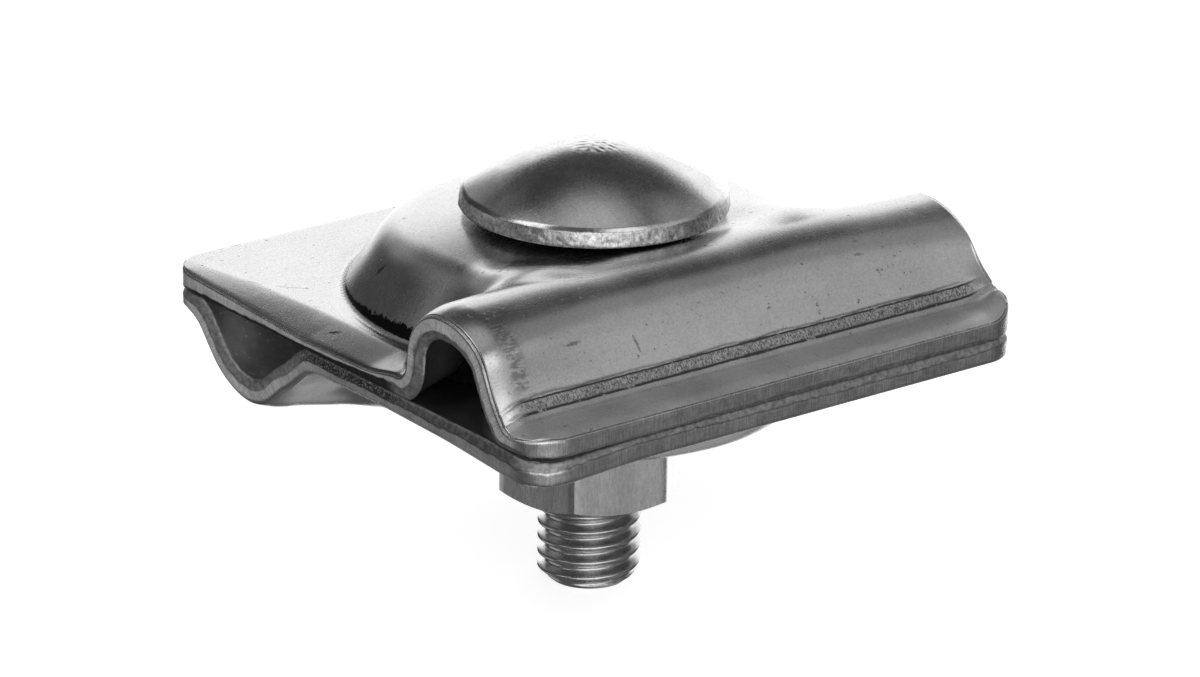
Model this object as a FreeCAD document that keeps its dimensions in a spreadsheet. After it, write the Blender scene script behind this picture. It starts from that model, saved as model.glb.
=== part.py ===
"""Cross connector: two pressed plates, a mushroom-head square-neck bolt and a hexagon nut.

Frame: origin on the bolt axis in the plane where the two plates meet, +Z up
towards the bolt head, Y along the two conductor channels, millimetres.
The upper plate's channel lies at +X and the lower plate's at -X.
"""
import FreeCAD, Part
import math
import os
import re
import Sketcher

DRIVING_SIZES = [
    ("plate_width", 46.5, "plate across the channels"),
    ("plate_length", 46.5, "plate along the channels"),
    ("sheet_gauge", 1.8, "thickness of the pressed sheet"),
    ("corner_radius", 3.2, "plate corners seen from above"),
    ("channel_root", 7.5, "bolt axis to the foot of the channel's inner flank"),
    ("channel_lean", 0.3, "how far the inner flank leans out over its height"),
    ("channel_height", 7.65, "meeting plane to the channel's back"),
    ("channel_back", 7.4, "width of the channel's back before its rounding"),
    ("outer_lean", 4.65, "how far the outer flank leans out over its height"),
    ("inner_round", 3.9, "rounding between the back and the inner flank"),
    ("outer_round", 6.6, "rounding between the back and the outer flank"),
    ("flange_round", 1.0, "bend between the outer flank and the flange"),
    ("root_round", 1.1, "bend at the foot of the boss and of the inner flank"),
    ("boss_radius", 18.9, "foot of the central boss"),
    ("shoulder_radius", 15.6, "boss shoulder before its rounding"),
    ("shoulder_height", 6.6, "meeting plane to the boss shoulder"),
    ("shoulder_round", 3.4, "rounding of the boss shoulder"),
    ("seat_radius", 6.6, "flat seat under the bolt head or the nut"),
    ("seat_height", 8.4, "meeting plane to the seat"),
    ("seat_round", 14.0, "rounding at the edge of the seat"),
    ("form_depth", 4.0, "solid under the sheet until it is hollowed"),
    ("thread_diameter", 8.0, "nominal diameter of the bolt"),
    ("bolt_length", 30.3, "under the head to the bolt end"),
    ("end_chamfer", 0.9, "chamfer at the bolt end"),
    ("neck_side", 8.4, "square neck across its sides"),
    ("neck_length", 5.0, "square neck under the head"),
    ("neck_round", 0.7, "rounding of the neck's corners"),
    ("neck_clearance", 0.25, "gap between the neck and the square hole"),
    ("head_diameter", 20.65, "rim of the mushroom head"),
    ("head_rim", 1.25, "height of the rim"),
    ("head_height", 4.95, "seat to the top of the head"),
    ("across_flats", 13.0, "hexagon nut over two flats"),
    ("nut_height", 6.5, "hexagon nut from face to face"),
    ("nut_angle", 13.0, "degrees from +X to a corner of the nut"),
    ("nut_face_diameter", 12.2, "round face inside the corner chamfers"),
    ("nut_chamfer_angle", 30.0, "degrees of the corner chamfers"),
    ("bore_chamfer", 0.5, "chamfer at both ends of the nut's bore"),
    ("thread_clearance", 0.05, "gap on the radius between bolt and nut"),
]

MATCH = 0.05
HALF_TURN = 180.0
FULL_TURN = 360.0
HEXAGON_TURNS = (0, 60, 120, 180, 240, 300)
UP = FreeCAD.Vector(0, 0, 1)
ALONG = FreeCAD.Vector(0, 1, 0)

doc = FreeCAD.newDocument("cross_connector")
sheet = doc.addObject("Spreadsheet::Sheet", "Sizes")


def fill_sheet():
    """Write each driving size into its own cell, with a word as its alias."""
    for row, (alias, number, meaning) in enumerate(DRIVING_SIZES, start=1):
        sheet.set(f"A{row}", meaning)
        sheet.set(f"B{row}", str(number))
        sheet.setAlias(f"B{row}", alias)
    doc.recompute()


def size(alias):
    """The number that the sheet holds for an alias."""
    return float(sheet.get(alias))


def tied(rule):
    """A rule in aliases, written the way an expression names the sheet's cells."""
    aliases = {alias for alias, _, _ in DRIVING_SIZES}
    return re.sub(r"[a-z_]+", lambda word: "Sizes." + word[0] if word[0] in aliases else word[0], rule)


def measure(rule):
    """The number that a rule in aliases comes to."""
    return float(sheet.evalExpression(tied(rule)))


def new_body(label):
    body = doc.addObject("PartDesign::Body", label)
    body.Label = label
    return body


def new_sketch(body, role, name, height=None):
    """A sketch on one of the body's origin planes, lifted by a rule where one is given."""
    sketch = body.newObject("Sketcher::SketchObject", name)
    plane = next(item for item in body.Origin.OriginFeatures if item.Role == role)
    sketch.AttachmentSupport = [(plane, "")]
    sketch.MapMode = "FlatFace"
    if height:
        sketch.setExpression("AttachmentOffset.Base.z", tied(height))
    return sketch


def fix_point(sketch, edge, end, across, up):
    """Hold one end of an edge at two rules measured from the sketch's origin."""
    for kind, axis, rule in (("DistanceX", -2, across), ("DistanceY", -1, up)):
        if rule == "0":
            sketch.addConstraint(Sketcher.Constraint("PointOnObject", edge, end, axis))
            continue
        number = sketch.addConstraint(Sketcher.Constraint(kind, -1, 1, edge, end, measure(rule)))
        sketch.setExpression(f"Constraints[{number}]", tied(rule))


def draw_outline(sketch, corners, domed=False):
    """A closed outline through corners; where it is domed, its last edge is an arc about the up axis."""
    points = [FreeCAD.Vector(measure(across), measure(up), 0) for across, up in corners]
    last = len(points) - 1
    for number, start in enumerate(points):
        end = points[0] if number == last else points[number + 1]
        if domed and number == last:
            rise = end.y - start.y
            centre = FreeCAD.Vector(0, end.y - (start.x ** 2 + rise ** 2) / (2 * rise), 0)
            circle = Part.Circle(centre, UP, end.y - centre.y)
            opening = math.atan2(start.y - centre.y, start.x)
            sketch.addGeometry(Part.ArcOfCircle(circle, opening, math.pi / 2), False)
        else:
            sketch.addGeometry(Part.LineSegment(start, end), False)
    for number in range(last):
        sketch.addConstraint(Sketcher.Constraint("Coincident", number, 2, number + 1, 1))
    sketch.addConstraint(Sketcher.Constraint("Coincident", last, 2, 0, 1))
    if domed:
        sketch.addConstraint(Sketcher.Constraint("PointOnObject", last, 3, -2))
    for number, (across, up) in enumerate(corners):
        fix_point(sketch, number, 1, across, up)


def draw_rectangle(sketch, half_width, half_height):
    """A rectangle about the sketch's origin."""
    draw_outline(sketch, [
        (f"-({half_width})", f"-({half_height})"),
        (half_width, f"-({half_height})"),
        (half_width, half_height),
        (f"-({half_width})", half_height),
    ])


def add_pad(body, sketch, name, length, symmetric=False):
    pad = body.newObject("PartDesign::Pad", name)
    pad.Profile = sketch
    pad.setExpression("Length", tied(length))
    if symmetric:
        pad.SideType = "Symmetric"
    doc.recompute()
    return pad


def add_turned(body, sketch, name, kind="PartDesign::Revolution"):
    """A revolution or groove of a sketch about its up axis."""
    turned = body.newObject(kind, name)
    turned.Profile = sketch
    turned.ReferenceAxis = (sketch, ["V_Axis"])
    turned.Angle = FULL_TURN
    doc.recompute()
    return turned


def add_cut(body, sketch, name):
    """A pocket right through the body, both ways from its sketch; it must take material away."""
    before = body.Tip.Shape.Volume
    pocket = body.newObject("PartDesign::Pocket", name)
    pocket.Profile = sketch
    pocket.Type = "ThroughAll"
    pocket.SideType = "Symmetric"
    doc.recompute()
    if pocket.Shape.Volume >= before:
        raise ValueError(name + " cuts nothing")
    return pocket


def names_of(shape, kind, wanted):
    """Names of a shape's edges or faces that pass a test."""
    members = shape.Edges if kind == "Edge" else shape.Faces
    return [f"{kind}{number}" for number, member in enumerate(members, start=1) if wanted(member)]


def add_rounding(body, name, radius, wanted):
    """Fillet the edges of the body's last feature that pass a test."""
    base = body.Tip
    edges = names_of(base.Shape, "Edge", wanted)
    if not edges:
        raise ValueError(name + " finds no edge")
    fillet = body.newObject("PartDesign::Fillet", name)
    fillet.Base = (base, edges)
    fillet.setExpression("Radius", tied(radius))
    doc.recompute()
    return fillet


def near(number, target):
    return abs(number - target) < MATCH


def along_channel(across, up):
    """A test for straight edges that run along Y at one place in the section."""
    def test(edge):
        box = edge.BoundBox
        return (near(box.XMin, across) and near(box.XMax, across)
                and near(box.ZMin, up) and near(box.ZMax, up) and box.YLength > MATCH)
    return test


def level_ring(up, radius):
    """A test for round edges about the bolt axis at one height and radius."""
    def test(edge):
        box = edge.BoundBox
        return near(box.ZMin, up) and near(box.ZMax, up) and near(-box.XMin, radius)
    return test


def build_boss():
    """The central boss as a turned form, cut off at the channel's axis."""
    body = new_body("boss_form")
    sketch = new_sketch(body, "XZ_Plane", "boss_section")
    draw_outline(sketch, [
        ("0", "-form_depth"),
        ("boss_radius", "-form_depth"),
        ("boss_radius", "sheet_gauge"),
        ("shoulder_radius", "shoulder_height"),
        ("seat_radius", "seat_height"),
        ("0", "seat_height"),
    ])
    add_turned(body, sketch, "boss_turned")
    add_rounding(body, "shoulder_rounding", "shoulder_round",
                 level_ring(size("shoulder_height"), size("shoulder_radius")))
    add_rounding(body, "seat_rounding", "seat_round",
                 level_ring(size("seat_height"), size("seat_radius")))
    trim = new_sketch(body, "XZ_Plane", "boss_trim_outline")
    draw_outline(trim, [
        ("channel_root + channel_lean + inner_round + sheet_gauge / 2", "-2 * form_depth"),
        ("2 * boss_radius", "-2 * form_depth"),
        ("2 * boss_radius", "2 * seat_height"),
        ("channel_root + channel_lean + inner_round + sheet_gauge / 2", "2 * seat_height"),
    ])
    add_cut(body, trim, "boss_trim")
    return body


def build_plate(label, placement):
    """A pressed plate: channel and boss as one solid form, hollowed to the sheet's gauge."""
    boss = build_boss()
    body = new_body(label)
    section = new_sketch(body, "XZ_Plane", "channel_section")
    draw_outline(section, [
        ("-plate_width / 2", "-form_depth"),
        ("plate_width / 2", "-form_depth"),
        ("plate_width / 2", "sheet_gauge"),
        ("channel_root + channel_lean + channel_back + outer_lean", "sheet_gauge"),
        ("channel_root + channel_lean + channel_back", "channel_height"),
        ("channel_root + channel_lean", "channel_height"),
        ("channel_root", "sheet_gauge"),
        ("-plate_width / 2", "sheet_gauge"),
    ])
    add_pad(body, section, "channel_pad", "plate_length", symmetric=True)
    gauge = size("sheet_gauge")
    inner_top = measure("channel_root + channel_lean")
    outer_top = measure("channel_root + channel_lean + channel_back")
    outer_root = measure("channel_root + channel_lean + channel_back + outer_lean")
    add_rounding(body, "inner_rounding", "inner_round", along_channel(inner_top, size("channel_height")))
    add_rounding(body, "outer_rounding", "outer_round", along_channel(outer_top, size("channel_height")))
    add_rounding(body, "flange_bend", "flange_round", along_channel(outer_root, gauge))
    joined = body.newObject("PartDesign::Boolean", "boss_joined")
    joined.setObjects([boss])
    joined.Type = "Fuse"
    doc.recompute()

    def meets_root(edge):
        """Edges where the boss and the inner flank meet the flat sheet or each other."""
        box = edge.BoundBox
        shape = body.Tip.Shape
        owners = [face for face in shape.Faces if any(edge.isSame(other) for other in face.Edges)]
        foot = near(box.ZMin, gauge) and near(box.ZMax, gauge)
        on_flank = foot and near(box.XMin, size("channel_root")) and near(box.XMax, size("channel_root"))
        on_boss = foot and near(box.XMin, -size("boss_radius"))
        turned = [face for face in owners if not isinstance(face.Surface, (Part.Plane, Part.Cylinder))]
        valley = len(turned) == 1 and box.XMin > size("channel_root") - MATCH and not foot
        return on_flank or on_boss or valley

    add_rounding(body, "root_rounding", "root_round", meets_root)
    form = body.Tip
    half_width = size("plate_width") / 2
    half_length = size("plate_length") / 2

    def open_side(face):
        box = face.BoundBox
        return (near(box.ZMax, -size("form_depth")) or near(box.XMax, -half_width)
                or near(box.XMin, half_width) or near(box.YMax, -half_length) or near(box.YMin, half_length))

    hollow = body.newObject("PartDesign::Thickness", "sheet_hollowed")
    hollow.Base = (form, names_of(form.Shape, "Face", open_side))
    hollow.setExpression("Value", tied("sheet_gauge"))
    hollow.Reversed = True
    doc.recompute()
    hole = new_sketch(body, "XY_Plane", "square_hole_outline")
    draw_rectangle(hole, "neck_side / 2 + neck_clearance", "neck_side / 2 + neck_clearance")
    add_cut(body, hole, "square_hole")

    def plate_corner(edge):
        box = edge.BoundBox
        return (near(abs(box.Center.x), half_width) and near(abs(box.Center.y), half_length)
                and box.ZLength > gauge / 2)

    add_rounding(body, "corner_rounding", "corner_radius", plate_corner)
    body.Placement = placement
    return body


def build_bolt():
    """Mushroom-head bolt with a square neck, hung from its seat on the upper plate."""
    body = new_body("carriage_bolt")
    turned = new_sketch(body, "XZ_Plane", "bolt_section")
    draw_outline(turned, [
        ("0", "seat_height + head_height"),
        ("0", "seat_height - bolt_length"),
        ("thread_diameter / 2 - end_chamfer", "seat_height - bolt_length"),
        ("thread_diameter / 2", "seat_height - bolt_length + end_chamfer"),
        ("thread_diameter / 2", "seat_height"),
        ("head_diameter / 2", "seat_height"),
        ("head_diameter / 2", "seat_height + head_rim"),
    ], domed=True)
    add_turned(body, turned, "bolt_turned")
    square = new_sketch(body, "XY_Plane", "neck_outline", "seat_height - neck_length")
    draw_rectangle(square, "neck_side / 2", "neck_side / 2")
    add_pad(body, square, "square_neck", "neck_length")

    def neck_corner(edge):
        box = edge.BoundBox
        half = size("neck_side") / 2
        return near(abs(box.Center.x), half) and near(abs(box.Center.y), half)

    add_rounding(body, "neck_rounding", "neck_round", neck_corner)
    return body


def build_nut():
    """Hexagon nut with both corner chamfers, run up against the lower plate."""
    body = new_body("hex_nut")
    hexagon = new_sketch(body, "XY_Plane", "nut_outline")
    draw_outline(hexagon, [
        (f"across_flats / sqrt(3) * cos({turn})", f"across_flats / sqrt(3) * sin({turn})")
        for turn in HEXAGON_TURNS
    ])
    add_pad(body, hexagon, "nut_pad", "nut_height", symmetric=True)
    bore = new_sketch(body, "XY_Plane", "bore_outline")
    circle = Part.Circle(FreeCAD.Vector(), UP, measure("thread_diameter / 2 + thread_clearance"))
    bore.addGeometry(circle, False)
    bore.addConstraint(Sketcher.Constraint("Coincident", 0, 3, -1, 1))
    number = bore.addConstraint(Sketcher.Constraint("Radius", 0, circle.Radius))
    bore.setExpression(f"Constraints[{number}]", tied("thread_diameter / 2 + thread_clearance"))
    add_cut(body, bore, "nut_bore")
    for end, side in (("upper", ""), ("lower", "-")):
        wedge = new_sketch(body, "XZ_Plane", end + "_wedge")
        outside = "across_flats"
        draw_outline(wedge, [
            ("nut_face_diameter / 2", f"{side}(nut_height / 2)"),
            (outside, f"{side}(nut_height / 2)"),
            (outside, f"{side}(nut_height / 2 - ({outside} - nut_face_diameter / 2) * tan(nut_chamfer_angle))"),
        ])
        before = body.Tip.Shape.Volume
        groove = add_turned(body, wedge, end + "_chamfer", "PartDesign::Groove")
        if groove.Shape.Volume >= before:
            raise ValueError(end + " chamfer cuts nothing")
    bore_radius = measure("thread_diameter / 2 + thread_clearance")
    half_height = size("nut_height") / 2
    base = body.Tip
    rims = names_of(base.Shape, "Edge", lambda edge: any(
        level_ring(height, bore_radius)(edge) for height in (half_height, -half_height)))
    chamfer = body.newObject("PartDesign::Chamfer", "bore_chamfers")
    chamfer.Base = (base, rims)
    chamfer.setExpression("Size", tied("bore_chamfer"))
    doc.recompute()
    below_plate = FreeCAD.Vector(0, 0, measure("-seat_height - nut_height / 2"))
    body.Placement = FreeCAD.Placement(below_plate, FreeCAD.Rotation(UP, size("nut_angle")))
    return body


def check(bodies):
    """Stop where a feature has failed or a piece is not one sound solid."""
    for item in doc.Objects:
        if "Invalid" in item.State or "Error" in item.State:
            raise ValueError(f"{item.Label}: {item.getStatusString()}")
    for body in bodies:
        if body.Shape.isNull() or not body.Shape.isValid() or len(body.Shape.Solids) != 1:
            raise ValueError(body.Label + " is not one sound solid")
        box = body.Shape.optimalBoundingBox()
        print(f"{body.Label}: {body.Shape.Volume:.1f} mm3, {len(body.Shape.Faces)} faces, "
              f"X {box.XMin:.2f} to {box.XMax:.2f}, Y {box.YMin:.2f} to {box.YMax:.2f}, "
              f"Z {box.ZMin:.2f} to {box.ZMax:.2f}")


def write_steps(bodies):
    os.makedirs("parts", exist_ok=True)
    for body in bodies:
        body.Shape.exportStep(f"parts/{body.Label}.step")


fill_sheet()
turned_over = FreeCAD.Placement(FreeCAD.Vector(), FreeCAD.Rotation(ALONG, HALF_TURN))
pieces = [
    build_plate("upper_plate", FreeCAD.Placement()),
    build_plate("lower_plate", turned_over),
    build_bolt(),
    build_nut(),
]
doc.recompute()
check(pieces)
write_steps(pieces)
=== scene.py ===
"""Dressed model of a cross connector: two pressed steel plates, a mushroom-head bolt and a hexagon nut.

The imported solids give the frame: origin on the bolt axis where the plates meet, +Z up towards the
head, +Y along the conductor channels. Lengths in the code are in millimetres unless a name says
otherwise; every object is stored in metres.
"""
import math
from types import SimpleNamespace

import bmesh
import bpy
import numpy as np
from mathutils import Matrix, Vector


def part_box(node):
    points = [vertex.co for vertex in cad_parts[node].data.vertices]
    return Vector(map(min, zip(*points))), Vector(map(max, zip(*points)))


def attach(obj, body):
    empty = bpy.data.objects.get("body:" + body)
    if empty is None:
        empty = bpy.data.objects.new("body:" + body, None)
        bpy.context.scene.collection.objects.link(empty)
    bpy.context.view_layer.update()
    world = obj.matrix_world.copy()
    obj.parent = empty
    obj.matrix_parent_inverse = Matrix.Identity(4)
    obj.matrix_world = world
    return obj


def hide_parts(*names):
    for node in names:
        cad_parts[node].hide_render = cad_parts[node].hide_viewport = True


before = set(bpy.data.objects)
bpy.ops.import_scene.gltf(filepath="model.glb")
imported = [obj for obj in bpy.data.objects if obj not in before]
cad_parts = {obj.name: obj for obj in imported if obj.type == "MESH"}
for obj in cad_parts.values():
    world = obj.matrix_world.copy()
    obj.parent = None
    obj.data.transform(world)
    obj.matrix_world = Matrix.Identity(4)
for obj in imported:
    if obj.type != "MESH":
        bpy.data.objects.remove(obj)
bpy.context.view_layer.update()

bl_info = {
    "name": "Cross connector",
    "version": (1, 0, 0),
    "blender": (4, 5, 0),
    "location": "3D View > Sidebar > Connector",
    "description": "Builds the pressed plates, bolt and nut of a cross connector",
    "category": "Add Mesh",
}

MM = 0.001
SQUARE = math.radians(90)
FULL_TURN = 2 * math.pi
# The photo's size in pixels, for where in it the camera puts the origin.
PICTURE_WIDTH, PICTURE_HEIGHT = 1200, 677


def length(name, millimetres, description):
    """A size that the panel shows as a length."""
    return bpy.props.FloatProperty(name=name, description=description, default=millimetres * MM,
                                   unit="LENGTH", precision=5)


def share(name, default, description):
    """A number from 0 to 1 that the panel shows as a slider."""
    return bpy.props.FloatProperty(name=name, description=description, default=default,
                                   min=0, max=1, subtype="FACTOR")


def seed(name, default, description):
    return bpy.props.IntProperty(name=name, description=description, default=default, min=0)


def grey(name, level, description):
    return bpy.props.FloatVectorProperty(name=name, description=description, size=3,
                                         default=(level, level, level), min=0, max=1, subtype="COLOR")


class PlateSizes(bpy.types.PropertyGroup):
    """Sizes of the one pressing that serves as both plates."""
    width: length("Width", 46.5, "Plate across the channels")
    length: length("Length", 46.5, "Plate along the channels")
    gauge: length("Gauge", 1.8, "Thickness of the sheet")
    corner: length("Corner radius", 3.2, "Plate corners seen from above")
    root: length("Channel root", 7.5, "Bolt axis to the foot of the channel's inner flank")
    lean: length("Inner lean", 0.3, "How far the inner flank leans out")
    height: length("Channel height", 7.65, "Meeting plane to the channel's back at its ends")
    back: length("Channel back", 7.4, "Width of the channel's back before rounding")
    outer_lean: length("Outer lean", 4.65, "How far the outer flank leans out")
    inner_round: length("Inner rounding", 3.9, "Between the back and the inner flank")
    outer_round: length("Outer rounding", 6.6, "Between the back and the outer flank")
    root_round: length("Root rounding", 1.1, "Bend at the foot of the boss and the flanks")
    boss: length("Boss radius", 18.9, "Foot of the boss")
    shoulder: length("Shoulder radius", 15.6, "Boss shoulder before rounding")
    shoulder_height: length("Shoulder height", 6.75, "Meeting plane to the boss shoulder")
    shoulder_round: length("Shoulder rounding", 4.4, "Rounding of the boss shoulder")
    seat: length("Seat radius", 6.6, "Flat seat under the head or the nut")
    seat_height: length("Seat height", 8.4, "Meeting plane to the seat")
    seat_round: length("Seat rounding", 14.0, "Rounding at the edge of the seat")
    hole: length("Square hole", 8.9, "Side of the square hole")
    crown: length("Channel crown", 0.6, "How much higher the channel's back is away from its ends")
    slack_drop: length("Slack drop", 0.7, "How much lower a slack front end leaves the channel's back")
    slack_foot: length("Slack foot", 3.1, "How much nearer the bolt a slack front end puts the inner flank")
    slack_lean: length("Slack lean", 6.9, "How much further a slack front end leans the inner flank")
    slack_round: length("Slack rounding", 1.8, "How much rounder a slack front end leaves its bends")
    roll: length("End roll", 0.56, "How far the front end rolls over towards its cut edge")
    roll_width: length("Roll width", 2.3, "Width of the rolled front end on the channel")
    droop: length("Front droop", 0.85, "How far the flat sheet droops towards its front edge")
    droop_width: length("Droop width", 3.3, "How far back the droop reaches beside the channel")
    mouth: length("Mouth", 0.5, "How much the channel opens out at its front end")
    lip_drop: length("Lip drop", 0.36, "How far the flange outside the channel rolls down to its edge")
    sag: length("Corner sag", 0.36, "How far the lower plate's free front corner sags")
    flare: length("Flare", 0.85, "How far the far corner of the flange is bent up")
    draw_in: length("Drawn-in ends", 0.22, "How far forming has pulled in the channel's ends")
    ripple: length("Ripple", 0.022, "Unevenness of the pressed sheet")
    mark_depth: length("Die mark depth", 0.05, "Depth of the marks that the press tool leaves")
    tear: share("Ragged tear", 0.25, "How ragged the line between the sheared and the broken edge is")
    undercut: length("Undercut", 0.3, "How far the broken part of the edge leans in")
    saddle: length("Saddle", 4.0, "How softly the channel's back runs into the boss")
    web: length("Web", 0.45, "How much fuller the boss is beside the channel")
    fullness: length("Fullness", 0.4, "How much fuller the channel's outer shoulder is at its middle")
    moat: length("Moat", 0.045, "Depth of the ring that the press tool leaves round the boss")
    seed: seed("Seed", 5, "Seed for ripple and torn edges")


class BoltSizes(bpy.types.PropertyGroup):
    """Sizes of the mushroom-head bolt."""
    head: length("Head", 20.65, "Diameter of the head's rim")
    rim: length("Rim", 1.25, "Height of the rim")
    height: length("Head height", 4.95, "Seat to the top of the head")
    neck: length("Neck", 8.4, "Square neck across its sides")
    neck_length: length("Neck length", 5.0, "Square neck under the head")
    neck_round: length("Neck rounding", 0.7, "Rounding of the neck's corners")
    thread: length("Thread", 8.0, "Outside diameter of the thread")
    pitch: length("Pitch", 1.25, "Thread from crest to crest")
    groove: length("Groove", 0.68, "Depth of the thread")
    bolt_length: length("Length", 30.3, "Under the head to the bolt's end")
    end_chamfer: length("End chamfer", 0.9, "Chamfer at the bolt's end")
    rim_taper: length("Rim taper", 0.16, "How much smaller the rim is at its top")
    rim_rough: length("Rim roughness", 0.055, "Depth of the torn skin on the rim")
    seed: seed("Seed", 11, "Seed for the torn rim")


class NutSizes(bpy.types.PropertyGroup):
    """Sizes of the hexagon nut."""
    flats: length("Across flats", 13.0, "Hexagon over two flats")
    height: length("Height", 6.5, "Nut from face to face")
    face: length("Face diameter", 11.7, "Round face inside the corner chamfers")
    bore: length("Bore", 8.1, "Bore inside the thread")
    bore_chamfer: length("Bore chamfer", 0.5, "Chamfer at both ends of the bore")
    corner_round: length("Corner rounding", 0.3, "Rounding along the nut's corners")
    turn: bpy.props.FloatProperty(name="Turn", description="Angle from +X to a corner of the nut",
                                  default=math.radians(13), subtype="ANGLE")
    chamfer: bpy.props.FloatProperty(name="Chamfer angle", description="Slope of the corner chamfers",
                                     default=math.radians(30), subtype="ANGLE")


class Finish(bpy.types.PropertyGroup):
    """Colours of the steel and its dirt."""
    sheet: grey("Sheet", 0.66, "Clean rolled sheet")
    cut: grey("Cut edge", 0.5, "Sheared edge of the sheet")
    bolt: grey("Bolt", 0.58, "Cold-headed bolt")
    nut: grey("Nut", 0.66, "Nut")
    inner: grey("Inner face", 0.3, "Dull inner face of the sheet")
    dirt: grey("Dirt", 0.012, "Grease and dirt left in corners")


class Studio(bpy.types.PropertyGroup):
    """Camera and light."""
    azimuth: bpy.props.FloatProperty(name="Azimuth", description="Camera round the object",
                                     default=math.radians(51.80), subtype="ANGLE")
    elevation: bpy.props.FloatProperty(name="Elevation", description="Camera above the horizon",
                                       default=math.radians(20.74), subtype="ANGLE")
    roll: bpy.props.FloatProperty(name="Roll", description="Camera turned about its own view",
                                  default=math.radians(0.94), subtype="ANGLE")
    distance: length("Distance", 481.3, "Camera to the object's origin, along the view")
    lens: bpy.props.FloatProperty(name="Lens", description="Focal length in millimetres", default=190.1)
    aim_across: bpy.props.FloatProperty(name="Aim across", description="Origin from the picture's left edge",
                                        default=592.54 / PICTURE_WIDTH, subtype="FACTOR")
    aim_down: bpy.props.FloatProperty(name="Aim down", description="Origin from the picture's top edge",
                                      default=307.22 / PICTURE_HEIGHT, subtype="FACTOR")
    floor: grey("Floor", 0.9, "Pale floor")


GROUPS = {
    "connector_plate": PlateSizes,
    "connector_bolt": BoltSizes,
    "connector_nut": NutSizes,
    "connector_finish": Finish,
    "connector_studio": Studio,
}


def in_mm(group):
    """The lengths of a property group in millimetres, its other values as they are."""
    values = {}
    for name, prop in group.bl_rna.properties.items():
        if prop.type in {"FLOAT", "INT"} and not prop.is_readonly:
            value = getattr(group, name)
            values[name] = value / MM if prop.type == "FLOAT" and prop.unit == "LENGTH" else value
    return SimpleNamespace(**values)


def waves(place, size, number, count=9):
    """Smooth unevenness between about -1 and 1: plane waves of about one size in seeded directions."""
    draw = np.random.default_rng(number)
    total = np.zeros(place.shape[:-1])
    for _ in range(count):
        direction = draw.normal(size=place.shape[-1])
        direction /= np.linalg.norm(direction)
        pace = FULL_TURN / (size * draw.uniform(0.7, 1.5))
        total += np.sin(place @ direction * pace + draw.uniform(0, FULL_TURN))
    return total / math.sqrt(count)


def smooth(low, high, value):
    """0 below low, 1 above high, and a smooth rise between."""
    rise = np.clip((value - low) / (high - low), 0, 1)
    return rise * rise * (3 - 2 * rise)


def rounded_corner(a, b, radius, cosine):
    """Distance to the solid inside two surfaces, with their outer corner rounded.

    a and b are distances to the surfaces and cosine that of the angle between their normals."""
    a_in, b_in = a + radius, b + radius
    between = (a_in > b_in * cosine) & (b_in > a_in * cosine)
    reach = np.sqrt(np.maximum(a_in ** 2 + b_in ** 2 - 2 * a_in * b_in * cosine, 0) / (1 - cosine ** 2))
    return np.where(between, reach - radius, np.maximum(a, b))


def rounded_valley(a, b, radius, cosine):
    """Distance to two solids joined, with the inner corner between them rounded."""
    return -rounded_corner(-a, -b, radius, cosine)


def facing(start, end):
    """Distance to the line from start to end, positive on its left, and the line's normal."""
    across, up = end[0] - start[0], end[1] - start[1]
    run = math.hypot(across, up)
    normal = (-up / run, across / run)
    return (lambda x, z: (x - start[0]) * normal[0] + (z - start[1]) * normal[1]), normal


def dot(one, other):
    return one[0] * other[0] + one[1] * other[1]


# The channel's fuller outer shoulder: where it begins past the root, the run over which it bends, and
# the scale that makes its middle about one fullness high.
SHOULDER_START, SHOULDER_RUN, SHOULDER_SCALE = 4.2, 3.4, 5.8
# Middle and spread of the web that fills the boss out beside the channel, in x and in |y|.
WEB_AT, WEB_SPREAD = (6.8, 13.6), (2.6, 3.6)


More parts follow.
